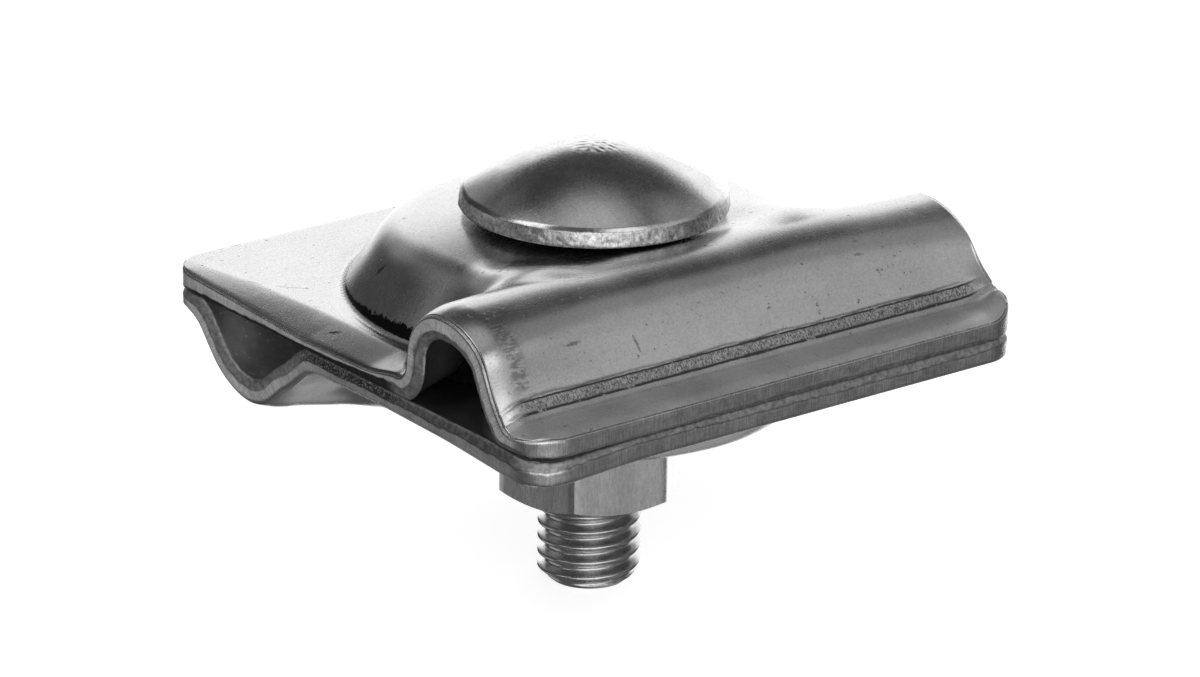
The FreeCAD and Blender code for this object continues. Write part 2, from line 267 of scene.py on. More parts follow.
class PressedForm:
    """The outer face of a pressing as the level surface of a distance to its channel, boss and sheet."""

    def __init__(self, s, slack):
        self.s, self.slack = s, slack
        back_end = s.root + s.lean + s.back
        self.outer, outer_normal = facing((back_end, s.height), (back_end + s.outer_lean, s.gauge))
        up = (0.0, 1.0)
        self.outer_cos = dot(outer_normal, up)
        self.slope, slope_normal = facing((s.seat, s.seat_height), (s.shoulder, s.shoulder_height))
        self.skirt, skirt_normal = facing((s.shoulder, s.shoulder_height), (s.boss, s.gauge))
        self.slope_cos, self.skirt_cos = dot(slope_normal, up), dot(slope_normal, skirt_normal)

    def slackened(self, y):
        """How much the channel's front end has slackened at y: 0 inside, the plate's slack at its end."""
        return self.slack * smooth(-self.s.length * 0.28, -self.s.length / 2, y)

    def crest(self, x, y):
        """Height of the channel's back, crowned along its length and fuller at its outer shoulder."""
        s = self.s
        middle = 1 - smooth(s.length / 2 * 0.42, s.length / 2 + 1.5, np.abs(y))
        outer = np.maximum(x - s.root - SHOULDER_START, 0)
        bent = np.minimum(outer, SHOULDER_RUN)
        fuller = s.fullness * bent * (outer - bent / 2) / SHOULDER_SCALE
        return s.height + (s.crown + fuller) * middle - s.slack_drop * self.slackened(y)

    def inner(self, x, y, z):
        """Distance to the inner flank, and the cosine of its angle with the back."""
        s, slack = self.s, self.slackened(y)
        foot, lean = s.root - s.slack_foot * slack, s.lean + s.slack_lean * slack
        rise = s.height - s.gauge
        run = np.hypot(lean, rise)
        return ((z - s.gauge) * lean - (x - foot) * rise) / run, lean / run

    def raised(self, x, y, z):
        """Distance to the channel and the boss joined."""
        s = self.s
        top = z - self.crest(x, y)
        inner, inner_cos = self.inner(x, y, z)
        channel = rounded_corner(inner, top, s.inner_round + s.slack_round * self.slackened(y), inner_cos)
        channel = rounded_corner(channel, self.outer(x, z), s.outer_round, self.outer_cos)
        away = np.hypot(x, y)
        web_x, web_y = (x - WEB_AT[0]) / WEB_SPREAD[0], (np.abs(y) - WEB_AT[1]) / WEB_SPREAD[1]
        z = z - s.web * np.exp(-web_x ** 2 - web_y ** 2)
        boss = rounded_corner(z - s.seat_height, self.slope(away, z), s.seat_round, self.slope_cos)
        boss = rounded_corner(boss, self.skirt(away, z), s.shoulder_round, self.skirt_cos)
        # The saddle is softest in front of the bolt and behind it, and fades out over the channel's back.
        softness = s.saddle * (0.2 + 0.8 * smooth(14.5, 9.0, x)) * (0.4 + 0.6 * smooth(6.5, 12.0, np.abs(y)))
        overlap = np.maximum(softness - np.abs(channel - boss), 0)
        return np.minimum(channel, boss) - overlap ** 2 / (4 * softness)

    def distance(self, x, y, z):
        """Distance to the whole outer face; negative inside the sheet."""
        s, step = self.s, 0.01
        raised = self.raised(x, y, z)
        tilt = (self.raised(x, y, z + step) - self.raised(x, y, z - step)) / (2 * step)
        # The foot of the boss is bent sharper away from the channel.
        bend = s.root_round * (0.35 + 0.65 * smooth(3.5, s.root - 1, x))
        bend = bend + s.slack_round * self.slackened(y) * smooth(-1, 3, x)
        return rounded_valley(raised, z - s.gauge, bend, np.clip(tilt, -0.9, 0.9))

    def height(self, x, y):
        """Height of the outer face over the meeting plane, found by halving."""
        low, high = np.zeros_like(x), np.full_like(x, self.s.seat_height + 2)
        for _ in range(24):
            middle = (low + high) / 2
            inside = self.distance(x, y, middle) < 0
            low, high = np.where(inside, middle, low), np.where(inside, high, middle)
        return (low + high) / 2

    def normal(self, x, y, z):
        """Outward unit normal of the outer face."""
        step = 0.02
        steep = np.stack([
            self.distance(x + step, y, z) - self.distance(x - step, y, z),
            self.distance(x, y + step, z) - self.distance(x, y - step, z),
            self.distance(x, y, z + step) - self.distance(x, y, z - step),
        ], axis=-1)
        return unit(steep)


# From the flange's edge to the middle of the rough band along the channel's outer foot.
CREASE_FROM_EDGE = 4.12


def stations(stops, spacing):
    """Rising positions that include every stop, about one spacing apart."""
    runs = [np.linspace(a, b, max(2, round((b - a) / spacing) + 1))[:-1] for a, b in zip(stops, stops[1:])]
    return np.append(np.concatenate(runs), stops[-1])


# Across the plate: how far back the front edge's droop reaches, and how deep it is.
DROOP_REACH = (-21, -14, -7), (0.5, 0.85, 1.0)
DROOP_DEPTH = (-21, -14, -5, 0, 6), (0.14, 0.5, 1.0, 0.9, 0.7)


def end_roll(s, x, y, upper):
    """How deep the outer face is drawn down near the front end and the lip, less where it is bent up.

    The channel's end is rolled over, the flat sheet droops and its edge is crisp, the flange rolls down to
    a lip and its far corner is flared up, the lower plate's free corner sags, and the mouth opens out."""
    from_end = y + s.length / 2
    on_flat = smooth(s.root + 0.5, s.root - 0.8, x)
    rolled = s.roll * (1 - on_flat) * np.clip(1 - from_end / s.roll_width, 0, 1) ** 2
    reach = s.droop_width * np.interp(x, *DROOP_REACH)
    depth = s.droop * np.interp(x, *DROOP_DEPTH) * (1.0 if upper else 0.5)
    drooped = depth * on_flat * np.clip(1 - from_end / reach, 0, 1) ** 1.25
    crisp = 0.12 * on_flat * np.clip(1 - from_end / 0.5, 0, 1) ** 2
    lip_from = s.width / 2 - 3.3
    lip = s.lip_drop * np.clip((x - lip_from) / (s.width / 2 - lip_from), 0, 1) ** 2
    flare = s.flare * smooth(s.length / 2 - 3.6, s.length / 2 + 0.6, y) ** 1.5 * smooth(17.5, 20.5, x)
    sag = 0 if upper else s.sag * smooth(-11, -22, x) * smooth(-12, -22, y)
    mouth = s.mouth * upper * smooth(2.5, 6.5, x) * smooth(19, 16, x) * smooth(17, 2, from_end)
    return rolled + drooped + crisp + lip - flare - sag - mouth


def spread_columns(form, y, stops, counts):
    """For each row at y, positions across the plate that share out the run of the formed surface."""
    s = form.s
    dense = np.unique(np.concatenate([np.linspace(stops[0], stops[-1], 900),
                                      np.linspace(s.root - 0.6, s.root + s.lean + 0.6, 500), stops]))
    x, rows = np.meshgrid(dense, y)
    z = form.height(x, rows)
    mark = s.width / 2 - CREASE_FROM_EDGE
    care = 1 + 2.4 * np.exp(-((dense - mark) / 0.6) ** 2) + 0.6 * np.exp(-((dense - s.root) / 1.5) ** 2)
    run = np.hypot(np.diff(x, axis=1), np.diff(z, axis=1)) * (care[1:] + care[:-1]) / 2
    run = np.concatenate([np.zeros((len(y), 1)), np.cumsum(run, axis=1)], axis=1)
    columns = []
    for (start, end), count in zip(zip(stops, stops[1:]), counts):
        first, last = np.searchsorted(dense, [start, end])
        part = np.empty((len(y), count))
        for row in range(len(y)):
            wanted = np.linspace(run[row, first], run[row, last], count + 1)[:-1]
            part[row] = np.interp(wanted, run[row, first:last + 1], dense[first:last + 1])
        columns.append(part)
    return np.concatenate(columns + [np.full((len(y), 1), stops[-1])], axis=1)


def round_plan(x, y, half_width, half_length, radius):
    """Pull the square corners of the plan in to quarter circles."""
    across = np.clip((np.abs(x) - half_width + radius) / radius, 0, 1)
    along = np.clip((np.abs(y) - half_length + radius) / radius, 0, 1)
    new_across = across * np.sqrt(1 - along ** 2 / 2)
    new_along = along * np.sqrt(1 - across ** 2 / 2)
    return (x + np.sign(x) * (new_across - across) * radius, y + np.sign(y) * (new_along - along) * radius)


def unit(vectors):
    return vectors / np.linalg.norm(vectors, axis=-1, keepdims=True)


# Share of the gauge that was sheared clean, along the front edge by x and elsewhere by y; the rest broke.
SHEARED_UPPER = (((-21, -12, -5, -0.5, 3.3, 6.0, 8.2, 9.5), (0.74, 0.62, 0.52, 0.36, 0.3, 0.34, 0.55, 0.6)),
                 ((-15, -7, 12, 20), (0.97, 0.9, 0.86, 0.95)))
SHEARED_LOWER = (((-21, -3, 6, 9), (0.6, 0.55, 0.5, 0.55)),
                 ((-23, -15, 0, 12, 20), (0.62, 0.78, 0.66, 0.6, 0.66)))
# Rows of places down the cut edge: how far each lies inside the rim, and its depth under the outer face.
EDGE_STEPS = [(0.12, 0.018), (0.045, 0.07), (0.0, 0.2), (0.0, 0.38), (0.0, 0.56), (0.0, 0.74), (0.0, 0.92),
              (0.0, 1.1), (0.0, 1.26), (0.0, 1.42), (0.0, 1.56), (0.012, 1.68), (0.05, 1.76)]
TOP_INSET, LOW_INSET = 0.24, 0.14
# The outermost strip of the grid, which becomes the rounded rim.
MARGIN = 0.5
# Spacing of the grid's rows near the front end, how far back that goes, and the spacing elsewhere.
FRONT_SPACING, FRONT_REACH, SPACING = 0.17, 5.2, 0.3
# Columns in each strip of the grid: margin, plate, hole, channel side, margin.
STRIP_COLUMNS = (1, 66, 30, 126, 1)
# How far in from the rim the inner face is drawn in with the leaning edge.
LEAN_REACH = 2.4
# The lowest that the inner face lies over the meeting plane.
CLEARANCE = 0.004
OUTER_FACE, CUT_EDGE, INNER_FACE = 0, 1, 2


def sheared_share(s, edge, upper):
    """Share of the gauge that was sheared clean at each place along the rim."""
    x, y = edge.T[:2]
    along_front, along_sides = SHEARED_UPPER if upper else SHEARED_LOWER
    front = smooth(0.6 - s.length / 2, -s.length / 2, y) * smooth(s.width / 2, s.width / 2 - 1, np.abs(x))
    side = np.interp(y, *along_sides)
    return side + (np.interp(x, *along_front) - side) * front


class Shell:
    """Places and quads of one closed shell, gathered block by block."""

    def __init__(self, *blocks):
        self.blocks = list(blocks)
        self.count = sum(len(block) for block in blocks)
        self.faces, self.kinds, self.edge_uv = [], [], []

    def add_faces(self, quads, kind, edge_uv=None):
        self.faces.append(quads)
        self.kinds.append(np.full(len(quads), kind))
        self.edge_uv.append(np.zeros((len(quads), 4, 2)) if edge_uv is None else edge_uv)

    def add_wall(self, levels, first, last, depths, run):
        """Bridge two rings of places through rows of new ones; the edge map holds run and depth in mm."""
        rings = [first]
        for level in levels:
            rings.append(np.arange(len(level)) + self.count)
            self.blocks.append(level)
            self.count += len(level)
        rings.append(last)
        after = np.append(run[1:], run[-1] + run[1] - run[0])
        for upper, lower, top, low in zip(rings, rings[1:], depths, depths[1:]):
            corners = ((run, top), (run, low), (after, low), (after, top))
            edge_uv = np.stack([np.stack([along, np.full(len(run), down)], -1) for along, down in corners], axis=1)
            self.add_faces(np.stack([upper, lower, np.roll(lower, -1), np.roll(upper, -1)], -1), CUT_EDGE, edge_uv)

    def gathered(self):
        """The places that some face uses, and the faces, their kinds and the edge map."""
        places, faces = np.concatenate(self.blocks), np.concatenate(self.faces)
        used = np.zeros(len(places), bool)
        used[faces.reshape(-1)] = True
        renumber = np.cumsum(used) - 1
        return places[used], renumber[faces], np.concatenate(self.kinds), np.concatenate(self.edge_uv)


def plate_grid(form):
    """Rows and columns over the plan, closest where the sheet bends, with the plan's corners rounded."""
    s = form.s
    half_width, half_length, hole = s.width / 2, s.length / 2, s.hole / 2
    fine = FRONT_REACH - half_length
    y = np.concatenate([stations([-half_length, MARGIN - half_length, fine], FRONT_SPACING)[:-1],
                        stations([fine, -hole, hole, half_length - MARGIN, half_length], SPACING)])
    x_stops = [-half_width, MARGIN - half_width, -hole, hole, half_width - MARGIN, half_width]
    x = spread_columns(form, y, np.array(x_stops), STRIP_COLUMNS)
    return round_plan(x, np.repeat(y[:, None], x.shape[1], axis=1), half_width, half_length, s.corner)


def uneven(s, place, number):
    """Forming leaves the raised sheet slightly uneven."""
    depth = s.ripple * (waves(place, 13.0, number) + 0.5 * waves(place, 5.0, number + 1))
    from_side = smooth(s.width / 2 + 1, s.width / 2 - 6, np.abs(place[..., 0]))
    return depth * from_side * smooth(s.gauge - 0.05, s.gauge + 2.5, place[..., 2])


def die_marks(s, place, number):
    """What the press tool leaves: a rough band between two lines, faint stripes, and a ring round the boss."""
    x, y, z = place[..., 0], place[..., 1], place[..., 2]
    along = place[..., 1:2]
    foot = s.width / 2 - CREASE_FROM_EDGE
    ends = smooth(s.length / 2, s.length / 2 - 1.6, np.abs(y + 0.4))
    wander = 0.035 * waves(along, 6.0, number + 2) + 0.015 * waves(along, 1.3, number + 3)
    depth = 0.2 * np.exp(-((x - foot) / 0.26) ** 4) * ends * waves(place, 0.8, number + 4)
    for offset, width, strength in ((-0.3, 0.1, 1.0), (0.29, 0.12, 1.5)):
        depth -= strength * np.exp(-((x - foot - offset - wander) / width) ** 2) * ends
    stripes = np.sin((x + 0.15 * waves(along, 12.0, number + 5)) * FULL_TURN / 1.45)
    depth += 0.2 * stripes * smooth(foot + 0.7, foot + 1.2, x)
    from_boss = np.hypot(x, y) - s.boss
    low = smooth(3.0, 2.0, z) * smooth(s.root - 0.4, s.root - 1.6, x)
    depth -= 0.5 * np.exp(-((from_boss - 0.85) / 0.16) ** 2) * low
    return s.mark_depth * depth - s.moat * np.exp(-((from_boss - 0.2) / 0.36) ** 2) * low


def grid_ring(j0, j1, i0, i1):
    """The places of a grid along the sides of a block of its rows and columns, as one ring."""
    return tuple(np.array([(j0, i) for i in range(i0, i1)] + [(j, i1) for j in range(j0, j1)]
                          + [(j1, i) for i in range(i1, i0, -1)] + [(j, i0) for j in range(j1, j0, -1)]).T)


def run_along(places):
    """Run from the first place to each of them."""
    return np.concatenate([[0], np.cumsum(np.linalg.norm(np.diff(places, axis=0), axis=1))])


def plate_rim(s, face, normal, number, upper):
    """The plate's rim as a ring of places, with its directions and how each place was cut."""
    ring = grid_ring(0, face.shape[0] - 1, 0, face.shape[1] - 1)
    edge, edge_normal = face[ring], normal[ring]
    tangent = unit(np.roll(edge, -1, axis=0) - np.roll(edge, 1, axis=0))
    run = run_along(edge)
    flange = edge[:, 0] > s.width / 2 - 0.4
    # Along the flange the plates stand slightly apart.
    gap = (0.2 * upper) * smooth(-9, -3, edge[:, 1]) * smooth(22.5, 17, edge[:, 1]) * flange
    gap = gap * (0.75 + 0.25 * waves(run[:, None], 6.0, number + 6))
    ragged = 0.12 * waves(run[:, None], 7.0, number + 7) + 0.1 * waves(run[:, None], 1.3, number + 8)
    split = s.gauge * (sheared_share(s, edge, upper) + s.tear * ragged)
    # Where the edge droops to the meeting plane, the sheet is squeezed thinner instead of passing it.
    room = np.clip((edge[:, 2] - CLEARANCE) / np.maximum(edge_normal[:, 2] * s.gauge, 1e-6), 0, 1)
    return SimpleNamespace(ring=ring, edge=edge, normal=edge_normal, outward=unit(np.cross(tangent, edge_normal)),
                           run=run, flange=flange, gap=gap, split=split, room=room)


def edge_walls(s, rim, number):
    """Rows of places down the cut edge: sheared clean first, then broken and leaning in."""
    walls = []
    for inset, depth in EDGE_STEPS:
        place = rim.edge - rim.normal * (depth * rim.room)[:, None]
        broken = smooth(rim.split - 0.04, rim.split + 0.1, np.full(len(place), depth))
        undercut = np.clip((depth - rim.split) / (s.gauge - rim.split), 0, 1) * s.undercut * (1 - rim.flange)
        rough = broken * (0.03 + 0.02 * waves(place, 0.7, number + 9)) + undercut
        drawn_mark = (1 - broken) * 0.0012 * waves(rim.run[:, None], 0.3, number + 10)
        low = rim.gap * smooth(s.gauge * 0.45, s.gauge, depth)
        walls.append(place - rim.outward * (inset + rough + drawn_mark)[:, None] + rim.normal * low[:, None])
    return walls


def pressing_mesh(s, number, upper):
    """One pressed plate as a closed shell, outer face up, in the frame's place for the upper plate."""
    form = PressedForm(s, 0.0 if upper else 1.0)
    x, y = plate_grid(form)
    rows, columns = x.shape
    z = form.height(x, y)
    normal = form.normal(x, y, z)
    face = np.stack([x, y, z], axis=-1) - normal * end_roll(s, x, y, upper)[..., None]
    lift = uneven(s, face, number)
    outer = face + normal * (lift + die_marks(s, face, number))[..., None]
    inner = face + normal * (lift - s.gauge)[..., None]
    inner[..., 2] = np.maximum(inner[..., 2], CLEARANCE)

    # The broken part of the edge leans in, so the inner face stops short of the outer one.
    for axis, half, sides in ((0, s.width / 2, (-1,)), (1, s.length / 2, (-1, 1))):
        for side in sides:
            near = np.clip(1 - (half - side * inner[..., axis]) / LEAN_REACH, 0, 1)
            inner[..., axis] -= side * (LOW_INSET + s.undercut) * near
    rim = plate_rim(s, face, normal, number, upper)
    outer[rim.ring] = rim.edge - rim.outward * TOP_INSET
    under = LOW_INSET + s.undercut * (1 - rim.flange)
    low_rim = rim.edge - rim.outward * under[:, None] - rim.normal * (s.gauge - rim.gap)[:, None]
    low_rim[:, 2] = np.maximum(low_rim[:, 2], CLEARANCE)
    inner[rim.ring] = low_rim

    shell = Shell(outer.reshape(-1, 3), inner.reshape(-1, 3))
    count = rows * columns
    grid = np.arange(count).reshape(rows, columns)
    quads = np.stack([grid[:-1, :-1], grid[:-1, 1:], grid[1:, 1:], grid[1:, :-1]], axis=-1).reshape(-1, 4)
    hole = s.hole / 2
    middle_x, middle_y = ((place[:-1, :-1] + place[1:, 1:]).reshape(-1) / 2 for place in (x, y))
    quads = quads[~((np.abs(middle_x) < hole) & (np.abs(middle_y) < hole))]
    shell.add_faces(quads, OUTER_FACE)
    shell.add_faces(quads[:, ::-1] + count, INNER_FACE)
    depths = [0.0] + [depth for _, depth in EDGE_STEPS] + [s.gauge]
    shell.add_wall(edge_walls(s, rim, number), grid[rim.ring], grid[rim.ring] + count, depths, rim.run)

    near = 1e-6
    j0, j1 = np.searchsorted(y[:, columns // 2], [-hole - near, hole - near])
    i0, i1 = np.searchsorted(x[j0], [-hole - near, hole - near])
    # The hole's ring runs the other way round, so that its wall faces the hole.
    hole_ring = tuple(np.array([(j, i0) for j in range(j0, j1)] + [(j1, i) for i in range(i0, i1)]
                               + [(j, i1) for j in range(j1, j0, -1)] + [(j0, i) for i in range(i1, i0, -1)]).T)
    top, low = outer[hole_ring], inner[hole_ring]
    parts = (0, 0.05, 0.35, 0.65, 0.95, 1)
    shell.add_wall([top + (low - top) * part for part in parts[1:-1]], grid[hole_ring], grid[hole_ring] + count,
                   [s.gauge * part for part in parts], run_along(top))

    places, faces, kinds, edge_uv = shell.gathered()
    at_end = smooth(0.55, 1.0, np.abs(places[:, 1]) / (s.length / 2))
    drawn = places.copy()
    drawn[:, 1] += np.where(places[:, 1] < 0, s.draw_in * smooth(s.gauge, s.height, places[:, 2]) * at_end, 0)
    clean = np.interp(np.arctan2(places[:, 1], places[:, 0]), *rim_split(rim.edge, rim.split))
    return drawn, faces, kinds, edge_uv, places, clean


def rim_split(edge, split):
    """The depth of the clean shear by direction from the bolt, for the edge material."""
    turn = np.arctan2(edge[:, 1], edge[:, 0])
    order = np.argsort(turn)
    return turn[order], split[order]


def make_mesh(name, places, faces, materials, kinds=None, edge_uv=None, pattern=None, clean=None, turned=False):
    """A mesh object in metres from places in mm and lists of faces; pattern and clean are kept in mm."""
    if turned:
        places = places * np.array([-1.0, 1.0, -1.0])
    mesh = bpy.data.meshes.new(name)
    mesh.from_pydata((places * MM).tolist(), [], faces)
    for material in materials:
        mesh.materials.append(material)
    if kinds is not None:
        mesh.polygons.foreach_set("material_index", kinds.astype(np.int32))
    if edge_uv is not None:
        mesh.uv_layers.new(name="edge").data.foreach_set("uv", edge_uv.astype(np.float32).reshape(-1))
    if pattern is not None:
        mesh.attributes.new("pressing", "FLOAT_VECTOR", "POINT").data.foreach_set(
            "vector", pattern.astype(np.float32).reshape(-1))
    if clean is not None:
        mesh.attributes.new("sheared", "FLOAT", "POINT").data.foreach_set("value", clean.astype(np.float32))
    mesh.shade_smooth()
    mesh.update()
    thing = bpy.data.objects.new(name, mesh)
    bpy.context.scene.collection.objects.link(thing)
    return thing


class Wiring:
    """Adds nodes to a tree in short calls; a plain number or vector fills the socket itself."""

    def __init__(self, tree):
        self.tree = tree

    def node(self, kind, inputs=None, **settings):
        made = self.tree.nodes.new(kind)
        for name, value in settings.items():
            setattr(made, name, value)
        for socket, value in (inputs or {}).items():
            self.fill(made.inputs[socket], value)
        return made

    def fill(self, socket, value):
        if isinstance(value, bpy.types.NodeSocket):
            self.tree.links.new(value, socket)
        else:
            socket.default_value = value

    def math(self, operation, *values, clamp=False):
        made = self.node("ShaderNodeMath", operation=operation, use_clamp=clamp)
        for socket, value in zip(made.inputs, values):
            self.fill(socket, value)
        return made.outputs[0]

    def times(self, first, *others):
        for other in others:
            first = self.math("MULTIPLY", first, other)
        return first

    def plus(self, first, *others):
        for other in others:
            first = self.math("ADD", first, other)
        return first

    def minus(self, one, other):
        return self.math("SUBTRACT", one, other)

    def size(self, value):
        return self.math("ABSOLUTE", value)

    def away(self, x, y):
        """Distance from the origin in a plane."""
        return self.math("SQRT", self.plus(self.times(x, x), self.times(y, y)))

    def dimmed(self, tone, mask, strength=1.0):
        """A tone darkened by a strength where the mask is 1."""
        return self.times(tone, self.minus(1.0, self.times(mask, strength)))

    def parted(self, vector):
        return self.node("ShaderNodeSeparateXYZ", {0: vector}).outputs

    def pattern(self):
        """Place on a pressed plate in mm, in the upper plate's position."""
        return self.node("ShaderNodeAttribute", attribute_name="pressing").outputs["Vector"]

    def place(self):
        """Place in the object's own space in metres."""
        return self.node("ShaderNodeTexCoord").outputs["Object"]

    def scaled(self, colour, tone):
        made = self.node("ShaderNodeVectorMath", {0: tuple(colour), "Scale": tone}, operation="SCALE")
        return made.outputs[0]

    def ramp(self, value, low, high, start=0.0, end=1.0, kind="SMOOTHSTEP"):
        made = self.node("ShaderNodeMapRange", {0: value, 1: low, 2: high, 3: start, 4: end},
                         interpolation_type=kind)
        return made.outputs[0]

    def noise(self, place, scale, detail=4.0, roughness=0.5, stretch=None, shift=(0, 0, 0)):
        if stretch or any(shift):
            place = self.node("ShaderNodeMapping", {"Vector": place, "Scale": stretch or (1, 1, 1),
                                                    "Location": shift}).outputs[0]
        made = self.node("ShaderNodeTexNoise", {"Vector": place, "Scale": scale, "Detail": detail,
                                                "Roughness": roughness})
        return made.outputs["Fac"]

    def blend(self, share, one, other):
        made = self.node("ShaderNodeMix", data_type="RGBA")
        self.fill(made.inputs[0], share)
        self.fill(made.inputs[6], one)
        self.fill(made.inputs[7], other)
        return made.outputs[2]


def rgba(colour):
    return (*colour, 1.0)


def new_material(name, metallic=1.0):
    material = bpy.data.materials.new(name)
    material.use_nodes = True
    tree = material.node_tree
    tree.nodes.clear()
    wiring = Wiring(tree)
    shader = wiring.node("ShaderNodeBsdfPrincipled", {"Metallic": metallic})
    output = wiring.node("ShaderNodeOutputMaterial")
    tree.links.new(shader.outputs[0], output.inputs[0])
    return material, wiring, shader


def coat(w, shader, colour, rough, height, distance, strength):
    """Fill in a shader's colour, its roughness and a bump of so many metres."""
    w.fill(shader.inputs["Base Color"], colour)
    w.fill(shader.inputs["Roughness"], rough)
    bump = w.node("ShaderNodeBump", {"Height": height, "Distance": distance, "Strength": strength})
    w.fill(shader.inputs["Normal"], bump.outputs[0])


# Nicks on the upper face, each by its place, half run and half width in mm, the angle of its run from +X
# in degrees, and how dark it is.
NICKS = (
    (-3.75, -21.4, 0.62, 0.2, 40, 0.9),
    (-5.4, -16.0, 0.4, 0.16, 20, 0.8),
    (17.1, -15.2, 0.95, 0.1, 93, 0.5),
    (17.6, -9.7, 0.5, 0.13, 12, 0.55),
    (-15.3, -20.6, 1.0, 0.08, 20, 0.45),
    (-12.8, -18.9, 1.5, 0.08, 43, 0.45),
    (13.6, 6.0, 0.12, 0.3, 0, 0.45),
    (16.2, 12.5, 0.1, 0.5, 0, 0.4),
)


def nicked(w, tone, pattern, grain):
    """The tone with every nick darkened, its outline made ragged by the grain."""
    for at_x, at_y, half_run, half_width, angle, strength in NICKS:
        turned = w.node("ShaderNodeMapping", {"Vector": pattern, "Location": (-at_x, -at_y, 0)}).outputs[0]
        turned = w.node("ShaderNodeVectorRotate", {"Vector": turned, "Angle": -math.radians(angle)}).outputs[0]
        run_x, run_y, _ = w.parted(turned)
        away = w.away(w.math("DIVIDE", run_x, half_run), w.math("DIVIDE", run_y, half_width))
        away = w.plus(away, w.times(w.minus(grain, 0.5), 2.4))
        tone = w.times(tone, w.ramp(away, 0.55, 1.05, 1 - strength, 1.0))
    return tone


def boss_dirt(w, s, pattern):
    """Where dirt is smeared along the foot of the boss, thickest beside the channel."""
    x, y, z = w.parted(pattern)
    ragged = w.times(w.minus(w.noise(pattern, 1.5, 5.0, 0.7), 0.5), 1.8)
    thick = w.plus(w.ramp(x, -11.0, -4.0, 0.12, 0.62, "LINEAR"), w.ramp(x, -4.0, -1.0, 0.0, 0.2, "LINEAR"))
    thick = w.times(thick, w.plus(ragged, 1.0))
    above = w.minus(z, w.plus(w.times(ragged, 0.06), s.gauge + 0.1))
    return w.times(w.ramp(above, 0.0, 0.08), w.ramp(w.minus(above, thick), 0.06, -0.04),
                   w.ramp(y, -13.0, -15.0), w.ramp(x, s.root - 0.2, s.root - 0.9), w.ramp(x, -11.5, -9.5))


def die_band(w, s, pattern):
    """Where the rough band lies along the channel's outer foot, and the two pressed lines beside it."""
    x, y, _ = w.parted(pattern)
    shake = w.times(w.minus(w.noise(pattern, 1.1, 5.0, 0.7), 0.5), 0.12)
    across = w.plus(w.minus(x, s.width / 2 - CREASE_FROM_EDGE), shake)
    along = w.ramp(w.size(y), 22.4, 20.8)
    lines = w.plus(w.ramp(w.size(w.plus(across, 0.29)), 0.1, 0.02),
                   w.ramp(w.size(w.minus(across, 0.29)), 0.13, 0.04))
    broken = w.ramp(w.noise(pattern, 0.8, 4.0, 0.7, shift=(0.0, 2.0, 5.0)), 0.28, 0.42)
    return w.times(w.ramp(w.size(across), 0.34, 0.24), along), w.times(lines, along, broken)


